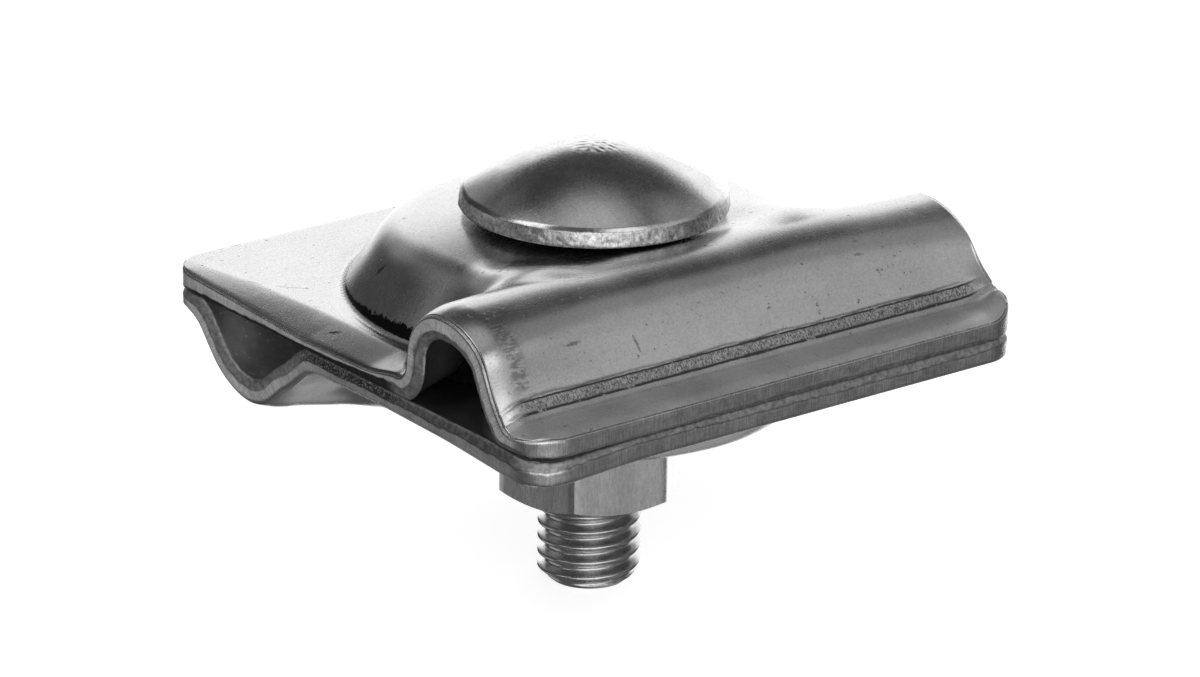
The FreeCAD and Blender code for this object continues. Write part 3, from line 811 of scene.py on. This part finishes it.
def sheet_finish(finish, s):
    """Bright rolled sheet with fine scratches and pits, worn die marks and dirt at the boss foot, with painted light
    on the flange and painted shade on the raised sheet and near the channel's front end.
    """
    material, w, shader = new_material("rolled_sheet")
    pattern = w.pattern()
    x, y, z = w.parted(pattern)
    cloud = w.noise(pattern, 0.16, 5.0, 0.6)
    grain = w.noise(pattern, 5.0, 5.0, 0.8)
    scratch = w.noise(pattern, 1.0, 3.0, 0.7, stretch=(9.0, 0.35, 2.0))
    scuffs = w.noise(pattern, 1.3, 3.0, 0.6, stretch=(0.5, 7.0, 0.6), shift=(2.0, 0.0, 4.0))
    pits = w.ramp(w.noise(pattern, 2.4, 3.0, 0.6, stretch=(1.0, 0.7, 1.0), shift=(3.1, 7.7, 1.3)), 0.65, 0.71)
    worn = w.ramp(w.noise(pattern, 0.28, 3.0, 0.6, shift=(5.0, 1.0, 2.0)), 0.42, 0.6)
    pits = w.times(pits, worn, 0.6)
    # Painted light: the flange outside the channel is painted lighter, by 0.44 of its tone.
    flange = w.ramp(x, 19.7, 20.2)
    # Painted shade: above about 5.2 mm the raised sheet is painted darker, down to 0.87 of its tone.
    tone = w.times(w.ramp(cloud, 0.3, 0.7, 0.88, 1.06), w.ramp(grain, 0.3, 0.7, 0.84, 1.1),
                   w.ramp(scuffs, 0.66, 0.72, 1.0, 0.8), w.plus(1.0, w.times(flange, 0.44)),
                   w.ramp(z, 5.2, 6.6, 1.0, 0.87))
    # The press tool has dragged the channel's flank just behind its front end.
    drag = w.times(w.ramp(y, -21.7, -21.1), w.ramp(y, -19.4, -20.4), w.ramp(x, 13.5, 15.5), w.ramp(x, 18.9, 18.0),
                   w.ramp(w.noise(pattern, 1.6, 4.0, 0.7, stretch=(4.0, 0.8, 1.0)), 0.44, 0.56))
    tone = nicked(w, w.dimmed(tone, drag, 0.45), pattern, grain)
    tone = w.dimmed(tone, pits)
    on_upper = w.ramp(w.parted(w.place())[2], -0.1 * MM, 0.1 * MM)
    # A thin layer of old grease and painted shade darken the flat sheet between the boss and the channel's front
    # end.
    grease_and_painted_shade = w.times(w.ramp(x, -7.0, 1.0), w.ramp(x, s.root + 0.8, s.root + 0.1), w.ramp(y, -18.6, -20.6),
                   w.ramp(z, s.gauge + 1.4, s.gauge + 0.3), on_upper, w.ramp(cloud, 0.25, 0.6, 0.46, 0.64))
    colour = w.scaled(finish.sheet, w.dimmed(tone, grease_and_painted_shade))
    dirt = w.times(boss_dirt(w, s, pattern), on_upper)
    band, lines = die_band(w, s, pattern)
    specks = w.noise(pattern, 7.0, 4.0, 0.8, stretch=(0.6, 1.0, 0.6))
    dark = w.math("MAXIMUM", w.times(band, w.ramp(specks, 0.38, 0.6, 1.0, 0.0), 0.9), lines)
    colour = w.blend(dark, colour, rgba([level * 0.12 for level in finish.sheet]))
    colour = w.blend(dirt, colour, rgba(finish.dirt))
    rough = w.plus(w.ramp(cloud, 0.3, 0.7, 0.22, 0.28), w.ramp(scratch, 0.45, 0.75, 0.0, 0.05),
                   w.times(w.math("MAXIMUM", band, dirt), 0.25), w.times(flange, 0.16))
    relief = w.plus(w.times(scratch, 0.12), w.times(grain, 0.4), w.times(band, specks, 2.0))
    coat(w, shader, colour, rough, w.minus(relief, w.times(pits, 2.0)), 0.000014, 0.7)
    return material


def inner_finish(finish):
    """The inner face of the sheet, matt from the mill and never touched by the tool, with painted light on the lower
    plate's inner face and painted shade on the upper plate's, which faces down.
    """
    material, w, shader = new_material("dull_inner_sheet", metallic=0.35)
    pattern = w.pattern()
    cloud = w.noise(pattern, 0.3, 4.0, 0.6)
    specks = w.ramp(w.noise(pattern, 3.0, 3.0, 0.6), 0.62, 0.72, 1.0, 2.2)
    up = w.parted(w.place())[2]
    # Painted light and shade: below the meeting plane, on the lower plate, the tone is raised to 1.25; above it, on
    # the upper plate, it is lowered to 0.18.
    tone = w.times(w.ramp(cloud, 0.3, 0.7, 0.7, 1.2), specks, w.ramp(up, -0.2 * MM, 0.0, 1.25, 0.18))
    coat(w, shader, w.scaled(finish.inner, tone), w.ramp(cloud, 0.3, 0.7, 0.4, 0.55),
         w.noise(pattern, 4.0, 4.0, 0.6), 0.00003, 0.4)
    return material


def cut_finish(finish):
    """Sheared edge of the sheet: fine upright streaks, then the torn part towards the inner face, with painted light
    and painted shade on the front edges.
    """
    material, w, shader = new_material("sheared_edge")
    pattern = w.pattern()
    uv = w.node("ShaderNodeUVMap", uv_map="edge").outputs[0]
    depth = w.parted(uv)[1]
    streak = w.noise(uv, 6.0, 5.0, 0.8, stretch=(1.6, 0.09, 1.0), shift=(3.7, 0.0, 0.0))
    patch = w.noise(uv, 0.22, 2.0, 0.5, stretch=(1.0, 0.4, 1.0))
    smear = w.noise(uv, 1.2, 4.0, 0.7, stretch=(0.8, 1.4, 1.0), shift=(4.0, 1.0, 0.0))
    ragged = w.noise(uv, 1.6, 6.0, 0.75, stretch=(1.0, 0.6, 1.0))
    sheared = w.node("ShaderNodeAttribute", attribute_name="sheared").outputs["Fac"]
    past_split = w.minus(depth, w.plus(w.minus(sheared, 0.1), w.times(ragged, 0.2)))
    torn = w.ramp(past_split, -0.02, 0.04)
    tone = w.times(w.ramp(streak, 0.3, 0.7, 0.8, 1.4), w.ramp(patch, 0.35, 0.7, 0.88, 1.12),
                   w.ramp(smear, 0.3, 0.7, 0.85, 1.15))
    torn_tone = w.ramp(w.noise(pattern, 3.0, 4.0, 0.6), 0.3, 0.7, 0.55, 1.05)
    across, along, up = w.parted(w.place())
    on_lower = w.ramp(up, 0.0, -0.2 * MM)
    # Painted light: the middle of the lower plate's front edge broke to a coarser grain, and its torn part is
    # painted paler there, where it faces up.
    pale = w.times(w.ramp(w.size(w.minus(across, 0.5 * MM)), 7.0 * MM, 4.5 * MM),
                   w.ramp(along, -22.0 * MM, -22.6 * MM), on_lower)
    coarse = w.ramp(w.noise(pattern, 6.0, 3.0, 0.6), 0.5, 0.7, -0.6, 1.5)
    torn_tone = w.times(torn_tone, w.plus(w.times(pale, coarse), 1.0))
    # Painted shade: the torn part of the upper plate's front edge is painted dark up to the channel, where it lies
    # in the shade between the plates.
    torn_painted_shade = w.times(w.ramp(across, 6.5 * MM, 5.0 * MM), w.ramp(up, -0.1 * MM, 0.1 * MM),
                     w.ramp(along, -22.0 * MM, -22.4 * MM))
    torn_tone = w.dimmed(torn_tone, torn_painted_shade, 0.86)
    tone = w.plus(w.dimmed(tone, torn), w.times(torn_tone, torn))
    # Painted shade: a dark line along the step where the torn part begins.
    tone = w.dimmed(tone, w.ramp(w.size(past_split), 0.08, 0.02), 0.3)
    # Painted light on the lower plate's front edge: a painted highlight along its outer face, and the rest of the
    # edge darker.
    lower_edge_painted_highlight = w.times(w.ramp(across, -9.0 * MM, -2.0 * MM), w.ramp(across, 22.0 * MM, 20.0 * MM),
                   w.ramp(along, -22.4 * MM, -22.8 * MM), on_lower)
    lower_edge_painted_tone = w.ramp(depth, 0.1, 0.26, 1.7, 0.58)
    tone = w.times(tone, w.plus(1.0, w.times(lower_edge_painted_highlight, w.minus(lower_edge_painted_tone, 1.0))))
    relief = w.plus(w.dimmed(streak, torn), w.times(w.noise(pattern, 4.0, 4.0, 0.65), torn))
    coat(w, shader, w.scaled(finish.cut, tone), w.ramp(torn, 0.0, 1.0, 0.24, 0.55), relief, 0.00004, 0.5)
    return material


def turned_finish(name, base, roughness, relief, rim=None, drawn=1.0):
    """Plain bright steel with fine random wear, which drawn stretches upright and relief raises.

    rim is the radius in mm of a rough skin round the bolt axis."""
    material, w, shader = new_material(name)
    place = w.place()
    cloud = w.noise(place, 0.3 / MM, 4.0, 0.6, stretch=(1.0, 1.0, drawn))
    grain = w.noise(place, 5.5 / MM, 5.0, 0.75, stretch=(1.0, 1.0, drawn))
    tone = w.times(w.ramp(cloud, 0.3, 0.7, 0.84, 1.12), w.ramp(grain, 0.3, 0.7, 0.84, 1.12))
    rough = w.ramp(grain, 0.3, 0.7, roughness - 0.03, roughness + 0.04)
    height = grain
    if rim:
        x, y, _ = w.parted(place)
        skin = w.ramp(w.away(x, y), (rim - 0.3) * MM, (rim - 0.12) * MM)
        torn = w.noise(place, 3.6 / MM, 6.0, 0.8)
        lines = w.noise(place, 2.0 / MM, 4.0, 0.7, stretch=(1.0, 1.0, 0.35), shift=(1.0, 3.0, 2.0))
        marked = w.times(w.ramp(torn, 0.36, 0.6, 0.62, 1.4), w.ramp(lines, 0.56, 0.64, 1.0, 0.6))
        tone = w.times(tone, w.plus(1.0, w.times(skin, w.minus(marked, 1.0))))
        rough = w.plus(rough, w.times(skin, 0.14))
        height = w.plus(grain, w.times(skin, torn, 6.0))
    coat(w, shader, w.scaled(base, tone), rough, height, relief, 0.6)
    return material


# How many places go round each turned piece, and how many rows the thread has.
HEAD_COLUMNS, NECK_COLUMNS, NUT_COLUMNS, THREAD_COLUMNS = 420, 160, 360, 96
THREAD_ROWS = 420
# Edges of the nut that bend more than this stay sharp.
SHARP = math.radians(22)


def lathe_rings(profile, columns, shape=None):
    """Rings about the bolt axis through (radius, height) pairs; shape scales the radius at each angle."""
    turn = np.linspace(0, FULL_TURN, columns, endpoint=False)
    scale = np.ones(columns) if shape is None else shape(turn)
    rings = []
    for radius, height in profile:
        rings.append(np.stack([radius * scale * np.cos(turn), radius * scale * np.sin(turn),
                               np.full(columns, float(height))], axis=-1))
    return np.array(rings)


def close_rings(rings):
    """A closed shell from rings listed from the top down, with a pole at both ends."""
    count, columns = rings.shape[:2]
    places = [rings[0].mean(axis=0)[None], rings.reshape(-1, 3), rings[-1].mean(axis=0)[None]]
    grid = np.arange(count * columns).reshape(count, columns) + 1
    after = np.roll(grid, -1, axis=1)
    quads = np.stack([grid[:-1], grid[1:], after[1:], after[:-1]], axis=-1).reshape(-1, 4)
    top = [[0, a, b] for a, b in zip(grid[0], after[0])]
    last = count * columns + 1
    low = [[last, b, a] for a, b in zip(grid[-1], after[-1])]
    return np.concatenate(places), quads.tolist() + top + low


def head_rings(s, seat):
    """The mushroom head from its top down to its underside: between a ball and a blunt cone, its rim rough."""
    radius, top, rim = s.head / 2, seat + s.height, seat + s.rim
    rise = top - rim
    ball = (radius ** 2 + rise ** 2) / (2 * rise)
    profile = []
    blunt = 0.12
    cone_run = math.sqrt(1 + blunt) - math.sqrt(blunt)
    for share_out in np.concatenate([np.linspace(0.004, 0.9, 44), np.linspace(0.92, 0.965, 5)]):
        away = share_out * radius
        dome = top - (ball - math.sqrt(ball ** 2 - away ** 2))
        cone = top - rise * (math.sqrt(share_out ** 2 + blunt) - math.sqrt(blunt)) / cone_run
        profile.append((away, 0.8 * dome + 0.2 * cone))
    profile += [(radius - s.rim_taper - 0.06, rim + 0.02), (radius - s.rim_taper - 0.012, rim - 0.05)]
    profile += [(radius - s.rim_taper * (1 - part) ** 1.2, rim - 0.14 + part * (seat + 0.3 - rim))
                for part in np.linspace(0, 1, 8)]
    profile += [(radius - 0.05, seat + 0.05), (radius - 0.18, seat), (radius - 0.6, seat)]
    profile += [(away, seat) for away in np.linspace(radius - 1.4, s.neck / 2 - 0.6, 7)]
    rings = lathe_rings(profile, HEAD_COLUMNS)
    away = np.hypot(rings[..., 0], rings[..., 1])
    outward = rings * np.array([1, 1, 0]) / away[..., None]
    on_rim = smooth(radius - 0.25, radius - 0.02, away) * smooth(seat - 0.01, seat + 0.1, rings[..., 2])
    torn = (0.5 * waves(rings, 1.6, s.seed) + 0.35 * waves(rings, 0.75, s.seed + 1)
            + 0.25 * waves(rings, 0.45, s.seed + 2))
    rings += outward * (on_rim * (s.rim_rough * torn - s.rim_rough))[..., None]
    lip = smooth(radius - 0.5, radius - 0.05, away) * smooth(rim - 0.2, rim - 0.02, rings[..., 2])
    rings[..., 2] += lip * 0.016 * waves(rings[..., :2], 1.8, s.seed + 3)
    nub = smooth(2.6, 1.4, away) * smooth(rim + 1, top - 0.5, rings[..., 2])
    rings[..., 2] += nub * (0.014 * waves(rings[..., :2], 0.6, s.seed + 4) - 0.02)
    return rings


def neck_rings(s, seat):
    """The square neck, from inside the head down into the thread."""
    half, corner = s.neck / 2, s.neck_round

    def squared(turn):
        """Radius of a rounded square of half side 1 at each angle."""
        fold = np.abs((turn + SQUARE / 2) % SQUARE - SQUARE / 2)
        flat = 1 / np.cos(fold)
        centre = 1 - corner / half
        along = centre * (np.cos(fold) + np.sin(fold))
        bend = along + np.sqrt(np.maximum(along ** 2 - 2 * centre ** 2 + (corner / half) ** 2, 0))
        return np.where(np.tan(fold) > centre, bend, flat)

    top, low = seat + 0.4, seat - s.neck_length
    profile = [(half * 0.5, top), (half, top), (half, low + 0.25), (half - 0.2, low), (half * 0.5, low)]
    return lathe_rings(profile, NECK_COLUMNS, squared)


def join_shells(shells):
    """Several closed shells as one list of places and faces."""
    places, faces, count = [], [], 0
    for some_places, some_faces in shells:
        places.append(some_places)
        faces += [[index + count for index in face] for face in some_faces]
        count += len(some_places)
    return np.concatenate(places), faces


THREAD_SOCKETS = {
    "NodeSocketFloat": ("Outside Radius", "Pitch", "Groove Depth", "Top", "Bottom", "End Chamfer"),
    "NodeSocketInt": ("Columns", "Rows"),
    "NodeSocketMaterial": ("Steel",),
}


def thread_tree():
    """Nodes that roll a right-hand thread: a grid is wrapped round the axis and grooved along its helix."""
    tree = bpy.data.node_groups.new("rolled_thread", "GeometryNodeTree")
    for kind, names in THREAD_SOCKETS.items():
        for name in names:
            tree.interface.new_socket(name, in_out="INPUT", socket_type=kind)
    tree.interface.new_socket("Mesh", in_out="OUTPUT", socket_type="NodeSocketGeometry")
    w = Wiring(tree)
    given = w.node("NodeGroupInput").outputs
    grid = w.node("GeometryNodeMeshGrid", {"Size X": 1.0, "Size Y": 1.0,
                                           "Vertices X": w.plus(given["Columns"], 1),
                                           "Vertices Y": given["Rows"]})
    across, along, _ = w.parted(w.node("GeometryNodeInputPosition").outputs[0])
    turn = w.plus(across, 0.5)
    last_row = w.minus(given["Rows"], 1)
    row = w.times(w.minus(0.5, along), last_row)
    fall = w.math("DIVIDE", w.minus(row, 1), w.minus(last_row, 2), clamp=True)
    span = w.minus(given["Top"], given["Bottom"])
    height = w.minus(given["Top"], w.times(fall, span))
    phase = w.math("FRACT", w.minus(w.math("DIVIDE", height, given["Pitch"]), turn))
    slope = w.size(w.minus(w.times(phase, 2), 1))
    groove = w.times(w.ramp(slope, 0.1, 0.84), given["Groove Depth"])
    above_end = w.minus(height, given["Bottom"])
    start_cut = w.math("MAXIMUM", w.minus(given["End Chamfer"], above_end), 0)
    cut = w.math("MAXIMUM", groove, start_cut)
    radius = w.minus(given["Outside Radius"], cut)
    pole = w.times(w.math("GREATER_THAN", row, 0.5),
                  w.math("LESS_THAN", row, w.minus(last_row, 0.5)))
    radius = w.times(radius, pole)
    angle = w.times(turn, FULL_TURN)
    place = w.node("ShaderNodeCombineXYZ", {0: w.times(radius, w.math("COSINE", angle)),
                                            1: w.times(radius, w.math("SINE", angle)), 2: height})
    wrapped = w.node("GeometryNodeSetPosition", {"Geometry": grid.outputs["Mesh"], "Position": place.outputs[0]})
    merged = w.node("GeometryNodeMergeByDistance", {"Geometry": wrapped.outputs[0], "Distance": MM * 1e-3})
    smoothed = w.node("GeometryNodeSetShadeSmooth", {"Geometry": merged.outputs[0]})
    real = w.node("GeometryNodeRealizeInstances", {"Geometry": smoothed.outputs[0]})
    steel = w.node("GeometryNodeSetMaterial", {"Geometry": real.outputs[0], "Material": given["Steel"]})
    w.node("NodeGroupOutput", {"Mesh": steel.outputs[0]})
    return tree


def run_tree(name, tree, values):
    """An object whose mesh is what a tree makes of named values, as plain geometry."""
    holder = bpy.data.objects.new(name, bpy.data.meshes.new(name))
    bpy.context.scene.collection.objects.link(holder)
    modifier = holder.modifiers.new(tree.name, "NODES")
    modifier.node_group = tree
    for item in tree.interface.items_tree:
        if item.in_out == "INPUT":
            modifier[item.identifier] = values[item.name]
    graph = bpy.context.evaluated_depsgraph_get()
    made = bpy.data.meshes.new_from_object(holder.evaluated_get(graph), depsgraph=graph)
    holder.modifiers.clear()
    holder.data = made
    made.name = name
    return holder


def face_outwards(thing):
    """Merge the places of a closed mesh that coincide, and turn its faces outwards."""
    shell = bmesh.new()
    shell.from_mesh(thing.data)
    bmesh.ops.remove_doubles(shell, verts=shell.verts, dist=MM * 1e-4)
    bmesh.ops.recalc_face_normals(shell, faces=shell.faces)
    shell.to_mesh(thing.data)
    shell.free()


def seat_height():
    """Height in mm of the upper plate's seat, on which the head rests."""
    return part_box("upper_plate")[1].z / MM


class CONNECTOR_OT_plates(bpy.types.Operator):
    """Form both pressed plates from the one pressing."""
    bl_idname = "connector.plates"
    bl_label = "Pressed plates"

    def execute(self, context):
        s = in_mm(context.scene.connector_plate)
        finish = context.scene.connector_finish
        materials = [sheet_finish(finish, s), cut_finish(finish), inner_finish(finish)]
        for node, body, upper in (("upper_plate", "upper_assembly", True), ("lower_plate", "lower", False)):
            places, faces, kinds, edge_uv, pattern, clean = pressing_mesh(s, s.seed + 20 * upper, upper)
            plate = make_mesh("pressed_" + node, places, faces.tolist(), materials, kinds, edge_uv, pattern, clean,
                              turned=not upper)
            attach(plate, body)
            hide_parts(node)
        return {"FINISHED"}


class CONNECTOR_OT_bolt(bpy.types.Operator):
    """Make the mushroom head, the square neck and the rolled thread."""
    bl_idname = "connector.bolt"
    bl_label = "Bolt"

    def execute(self, context):
        s = in_mm(context.scene.connector_bolt)
        finish = context.scene.connector_finish
        seat = seat_height()
        steel = turned_finish("bolt_head_steel", finish.bolt, 0.17, 0.00001, s.head / 2)
        places, faces = join_shells([close_rings(head_rings(s, seat)), close_rings(neck_rings(s, seat))])
        head = make_mesh("bolt_head", places, faces, [steel])
        face_outwards(head)
        neck_foot, end = seat - s.neck_length, seat - s.bolt_length
        thread = run_tree("bolt_thread", thread_tree(), {
            "Outside Radius": s.thread / 2 * MM, "Pitch": s.pitch * MM, "Groove Depth": s.groove * MM,
            "Top": (neck_foot + 0.3) * MM, "Bottom": end * MM, "End Chamfer": s.end_chamfer * MM,
            "Columns": THREAD_COLUMNS, "Rows": THREAD_ROWS,
            "Steel": turned_finish("thread_steel", finish.bolt, 0.22, 0.000001),
        })
        face_outwards(thread)
        for piece in (head, thread):
            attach(piece, "upper_assembly")
            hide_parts("carriage_bolt")
        return {"FINISHED"}


def nut_rings(s, top):
    """Closed rings round the nut's section: up out of the bore, over the top face, down the side and back."""
    low = top - s.height
    half, face = s.flats / 2, s.face / 2
    sixth = FULL_TURN / 6
    turn = np.linspace(0, FULL_TURN, NUT_COLUMNS, endpoint=False)
    fold = np.abs((turn + sixth / 2) % sixth - sixth / 2)
    flat = half / np.cos(sixth / 2 - fold)
    corner = flat.max() - s.corner_round
    eased = corner + s.corner_round * (1 - np.exp(np.minimum(corner - flat, 0) / s.corner_round))
    width = np.where(flat > corner, eased, flat)
    drop = np.maximum(width - face, 0) * math.tan(s.chamfer)
    bore, wide = s.bore / 2, s.bore / 2 + s.bore_chamfer
    across, up = np.cos(turn + s.turn), np.sin(turn + s.turn)
    halfway, parts = face + (width - face) * 0.5, (0.1, 0.5, 0.9)

    def ring(radius, height):
        return np.stack([radius * across, radius * up, np.zeros(NUT_COLUMNS) + height], axis=-1)

    rings = [ring(bore, top - s.bore_chamfer), ring(wide, top)]
    rings += [ring(wide + (face - wide) * part, top) for part in parts]
    rings += [ring(face, top), ring(halfway, top - drop * 0.5)]
    side_top, side_low = top - drop, low + drop
    rings += [ring(width, side_top + (side_low - side_top) * part) for part in (0, 0.015, 0.25, 0.5, 0.75, 0.985, 1)]
    rings += [ring(halfway, low + drop * 0.5), ring(face, low)]
    rings += [ring(wide + (face - wide) * part, low) for part in reversed(parts)]
    rings += [ring(wide, low), ring(bore, low + s.bore_chamfer)]
    rings += [ring(bore, level) for level in np.linspace(low + 1, top - 1, 5)]
    return np.array(rings)


class CONNECTOR_OT_nut(bpy.types.Operator):
    """Make the hexagon nut with its chamfers and bore."""
    bl_idname = "connector.nut"
    bl_label = "Nut"

    def execute(self, context):
        s = in_mm(context.scene.connector_nut)
        rings = nut_rings(s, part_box("hex_nut")[1].z / MM)
        grid = np.arange(rings.shape[0] * rings.shape[1]).reshape(rings.shape[:2])
        below, after = np.roll(grid, -1, axis=0), np.roll(grid, -1, axis=1)
        faces = np.stack([grid, below, np.roll(below, -1, axis=1), after], axis=-1).reshape(-1, 4)
        steel = turned_finish("nut_steel_bright", context.scene.connector_finish.nut, 0.27, 0.00002, drawn=0.22)
        nut = make_mesh("hexagon_nut", rings.reshape(-1, 3), faces.tolist(), [steel])
        face_outwards(nut)
        nut.data.set_sharp_from_angle(angle=SHARP)
        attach(nut, "nut")
        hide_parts("hex_nut")
        return {"FINISHED"}


# Soft panels round the object: middle and half width of each in degrees (azimuth from +X, then
# elevation), the softness of its edges and its brightness. A later panel covers an earlier one.
PANELS = (
    ("upper_right", (72, 60), (45, 17), (18, 12), 0.42),
    ("right_back", (40, 22), (36, 10), (12, 8), 0.7),
    ("far_dark", (150, 50), (50, 14), (22, 12), 0.085),
    ("zenith", (0, 400), (86, 14), (12, 20), 0.72),
    ("left_dark", (202, 34), (8, 24), (12, 10), 0.08),
    ("left_middle", (200, 20), (42, 8), (14, 10), 0.2),
    ("backdrop_left", (177, 9), (24, 9), (10, 8), 0.45),
    ("right_box", (354, 22), (49, 13), (14, 8), 1.8),
    ("left_high", (222, 20), (60, 8), (16, 10), 0.8),
    ("left_box", (254, 14), (48, 16), (6, 8), 2.6),
    ("front_strip", (330, 36), (7, 20), (40, 10), 2.2),
    ("low_front", (334, 18), (-30, 20), (18, 12), 0.6),
    ("low_side", (40, 20), (-36, 30), (10, 8), 0.2),
    ("low_right", (6, 22), (-14, 10), (12, 6), 0.65),
    ("low_left", (216, 22), (-18, 14), (12, 8), 0.6),
    ("floor_back", (105, 32), (-58, 12), (20, 10), 0.55),
    ("backdrop_wing", (108, 18), (13, 15), (10, 14), 1.1),
    ("backdrop", (133, 32), (-4, 33), (13, 5), 1.95),
)
SURROUND = 0.15
# In metres.
FLOOR_RADIUS = 3


def studio_world():
    """Soft panels on a plain surround for reflections, and plain white behind the object for the camera."""
    world = bpy.data.worlds.new("studio")
    world.use_nodes = True
    world.node_tree.nodes.clear()
    w = Wiring(world.node_tree)
    x, y, z = w.parted(w.node("ShaderNodeTexCoord").outputs["Generated"])
    azimuth = w.math("DEGREES", w.math("ARCTAN2", y, x))
    elevation = w.math("DEGREES", w.math("ARCSINE", z))
    level = SURROUND
    for name, (middle, half), (height, half_height), (soft, soft_height), brightness in PANELS:
        turned = w.math("WRAP", w.minus(azimuth, middle), 180.0, -180.0)
        across = w.ramp(w.size(turned), half + soft / 2, half - soft / 2)
        rise = w.size(w.minus(elevation, height))
        along = w.ramp(rise, half_height + soft_height / 2, half_height - soft_height / 2)
        cover = w.times(across, along)
        blend = w.node("ShaderNodeMix", {0: cover, 2: level, 3: brightness}, label=name)
        level = blend.outputs[0]
    panels = w.node("ShaderNodeBackground", {"Strength": level})
    plain = w.node("ShaderNodeBackground", {"Color": (1, 1, 1, 1), "Strength": 1.0})
    seen = w.node("ShaderNodeLightPath").outputs["Is Camera Ray"]
    mix = w.node("ShaderNodeMixShader", {0: seen, 1: panels.outputs[0], 2: plain.outputs[0]})
    w.node("ShaderNodeOutputWorld", {0: mix.outputs[0]})
    return world


def aimed_camera(studio):
    """The camera from which the photo was taken; it turns about the object's origin in its own picture."""
    az, el, roll = studio.azimuth, studio.elevation, studio.roll
    forward = Vector((-math.sin(az) * math.cos(el), math.cos(az) * math.cos(el), -math.sin(el)))
    right = forward.cross(Vector((0, 0, 1))).normalized()
    up = right.cross(forward)
    right, up = (right * math.cos(roll) + up * math.sin(roll), up * math.cos(roll) - right * math.sin(roll))
    data = bpy.data.cameras.new("camera")
    data.sensor_width = 36.0
    data.lens = studio.lens
    data.clip_start = 0.01
    per_length = data.sensor_width / studio.lens
    across = (studio.aim_across - 0.5) * per_length
    down = (studio.aim_down - 0.5) * per_length * PICTURE_HEIGHT / PICTURE_WIDTH
    place = -(forward + right * across - up * down) * studio.distance
    camera = bpy.data.objects.new("camera", data)
    camera.matrix_world = Matrix.Translation(place) @ Matrix((right, up, -forward)).transposed().to_4x4()
    return camera


def pale_floor(studio):
    """A wide pale disc at the bolt's end, so white that it leaves no edge against the background."""
    material, w, shader = new_material("pale_floor", metallic=0.0)
    tone = w.ramp(w.noise(w.place(), 6.0, 2.0), 0.3, 0.7, 0.99, 1.0)
    w.fill(shader.inputs["Base Color"], w.scaled(studio.floor, tone))
    shader.inputs["Roughness"].default_value = 0.9
    shader.inputs["Emission Color"].default_value = (1, 1, 1, 1)
    shader.inputs["Emission Strength"].default_value = 0.74
    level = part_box("carriage_bolt")[0].z
    turn = np.linspace(0, FULL_TURN, 96, endpoint=False)
    rim = [(FLOOR_RADIUS * math.cos(a), FLOOR_RADIUS * math.sin(a), level) for a in turn]
    mesh = bpy.data.meshes.new("floor")
    mesh.from_pydata(rim, [], [list(range(len(rim)))])
    mesh.materials.append(material)
    floor = bpy.data.objects.new("floor", mesh)
    floor.visible_glossy = False
    return floor


class CONNECTOR_OT_studio(bpy.types.Operator):
    """Set the camera, the pale floor and the soft light."""
    bl_idname = "connector.studio"
    bl_label = "Studio"

    def execute(self, context):
        scene = context.scene
        scene.camera = aimed_camera(scene.connector_studio)
        scene.collection.objects.link(scene.camera)
        floor = pale_floor(scene.connector_studio)
        scene.collection.objects.link(floor)
        scene.world = studio_world()
        scene.view_settings.view_transform = "Standard"
        return {"FINISHED"}


class CONNECTOR_PT_panel(bpy.types.Panel):
    """Sizes, finishes and the steps that build the connector."""
    bl_idname = "CONNECTOR_PT_panel"
    bl_label = "Cross connector"
    bl_space_type = "VIEW_3D"
    bl_region_type = "UI"
    bl_category = "Connector"

    def draw(self, context):
        for operator in OPERATORS:
            self.layout.operator(operator.bl_idname)
        for name, group in GROUPS.items():
            box = self.layout.box()
            box.label(text=group.__name__)
            for prop in group.bl_rna.properties:
                if not prop.is_readonly and prop.identifier != "name":
                    box.prop(getattr(context.scene, name), prop.identifier)


OPERATORS = (CONNECTOR_OT_plates, CONNECTOR_OT_bolt, CONNECTOR_OT_nut, CONNECTOR_OT_studio)


def register():
    for kind in (*GROUPS.values(), *OPERATORS, CONNECTOR_PT_panel):
        bpy.utils.register_class(kind)
    for name, group in GROUPS.items():
        setattr(bpy.types.Scene, name, bpy.props.PointerProperty(type=group))


def unregister():
    for name in GROUPS:
        delattr(bpy.types.Scene, name)
    for kind in reversed((*GROUPS.values(), *OPERATORS, CONNECTOR_PT_panel)):
        bpy.utils.unregister_class(kind)


def main():
    register()
    bpy.ops.connector.plates()
    bpy.ops.connector.bolt()
    bpy.ops.connector.nut()
    bpy.ops.connector.studio()


if __name__ == "__main__":
    main()
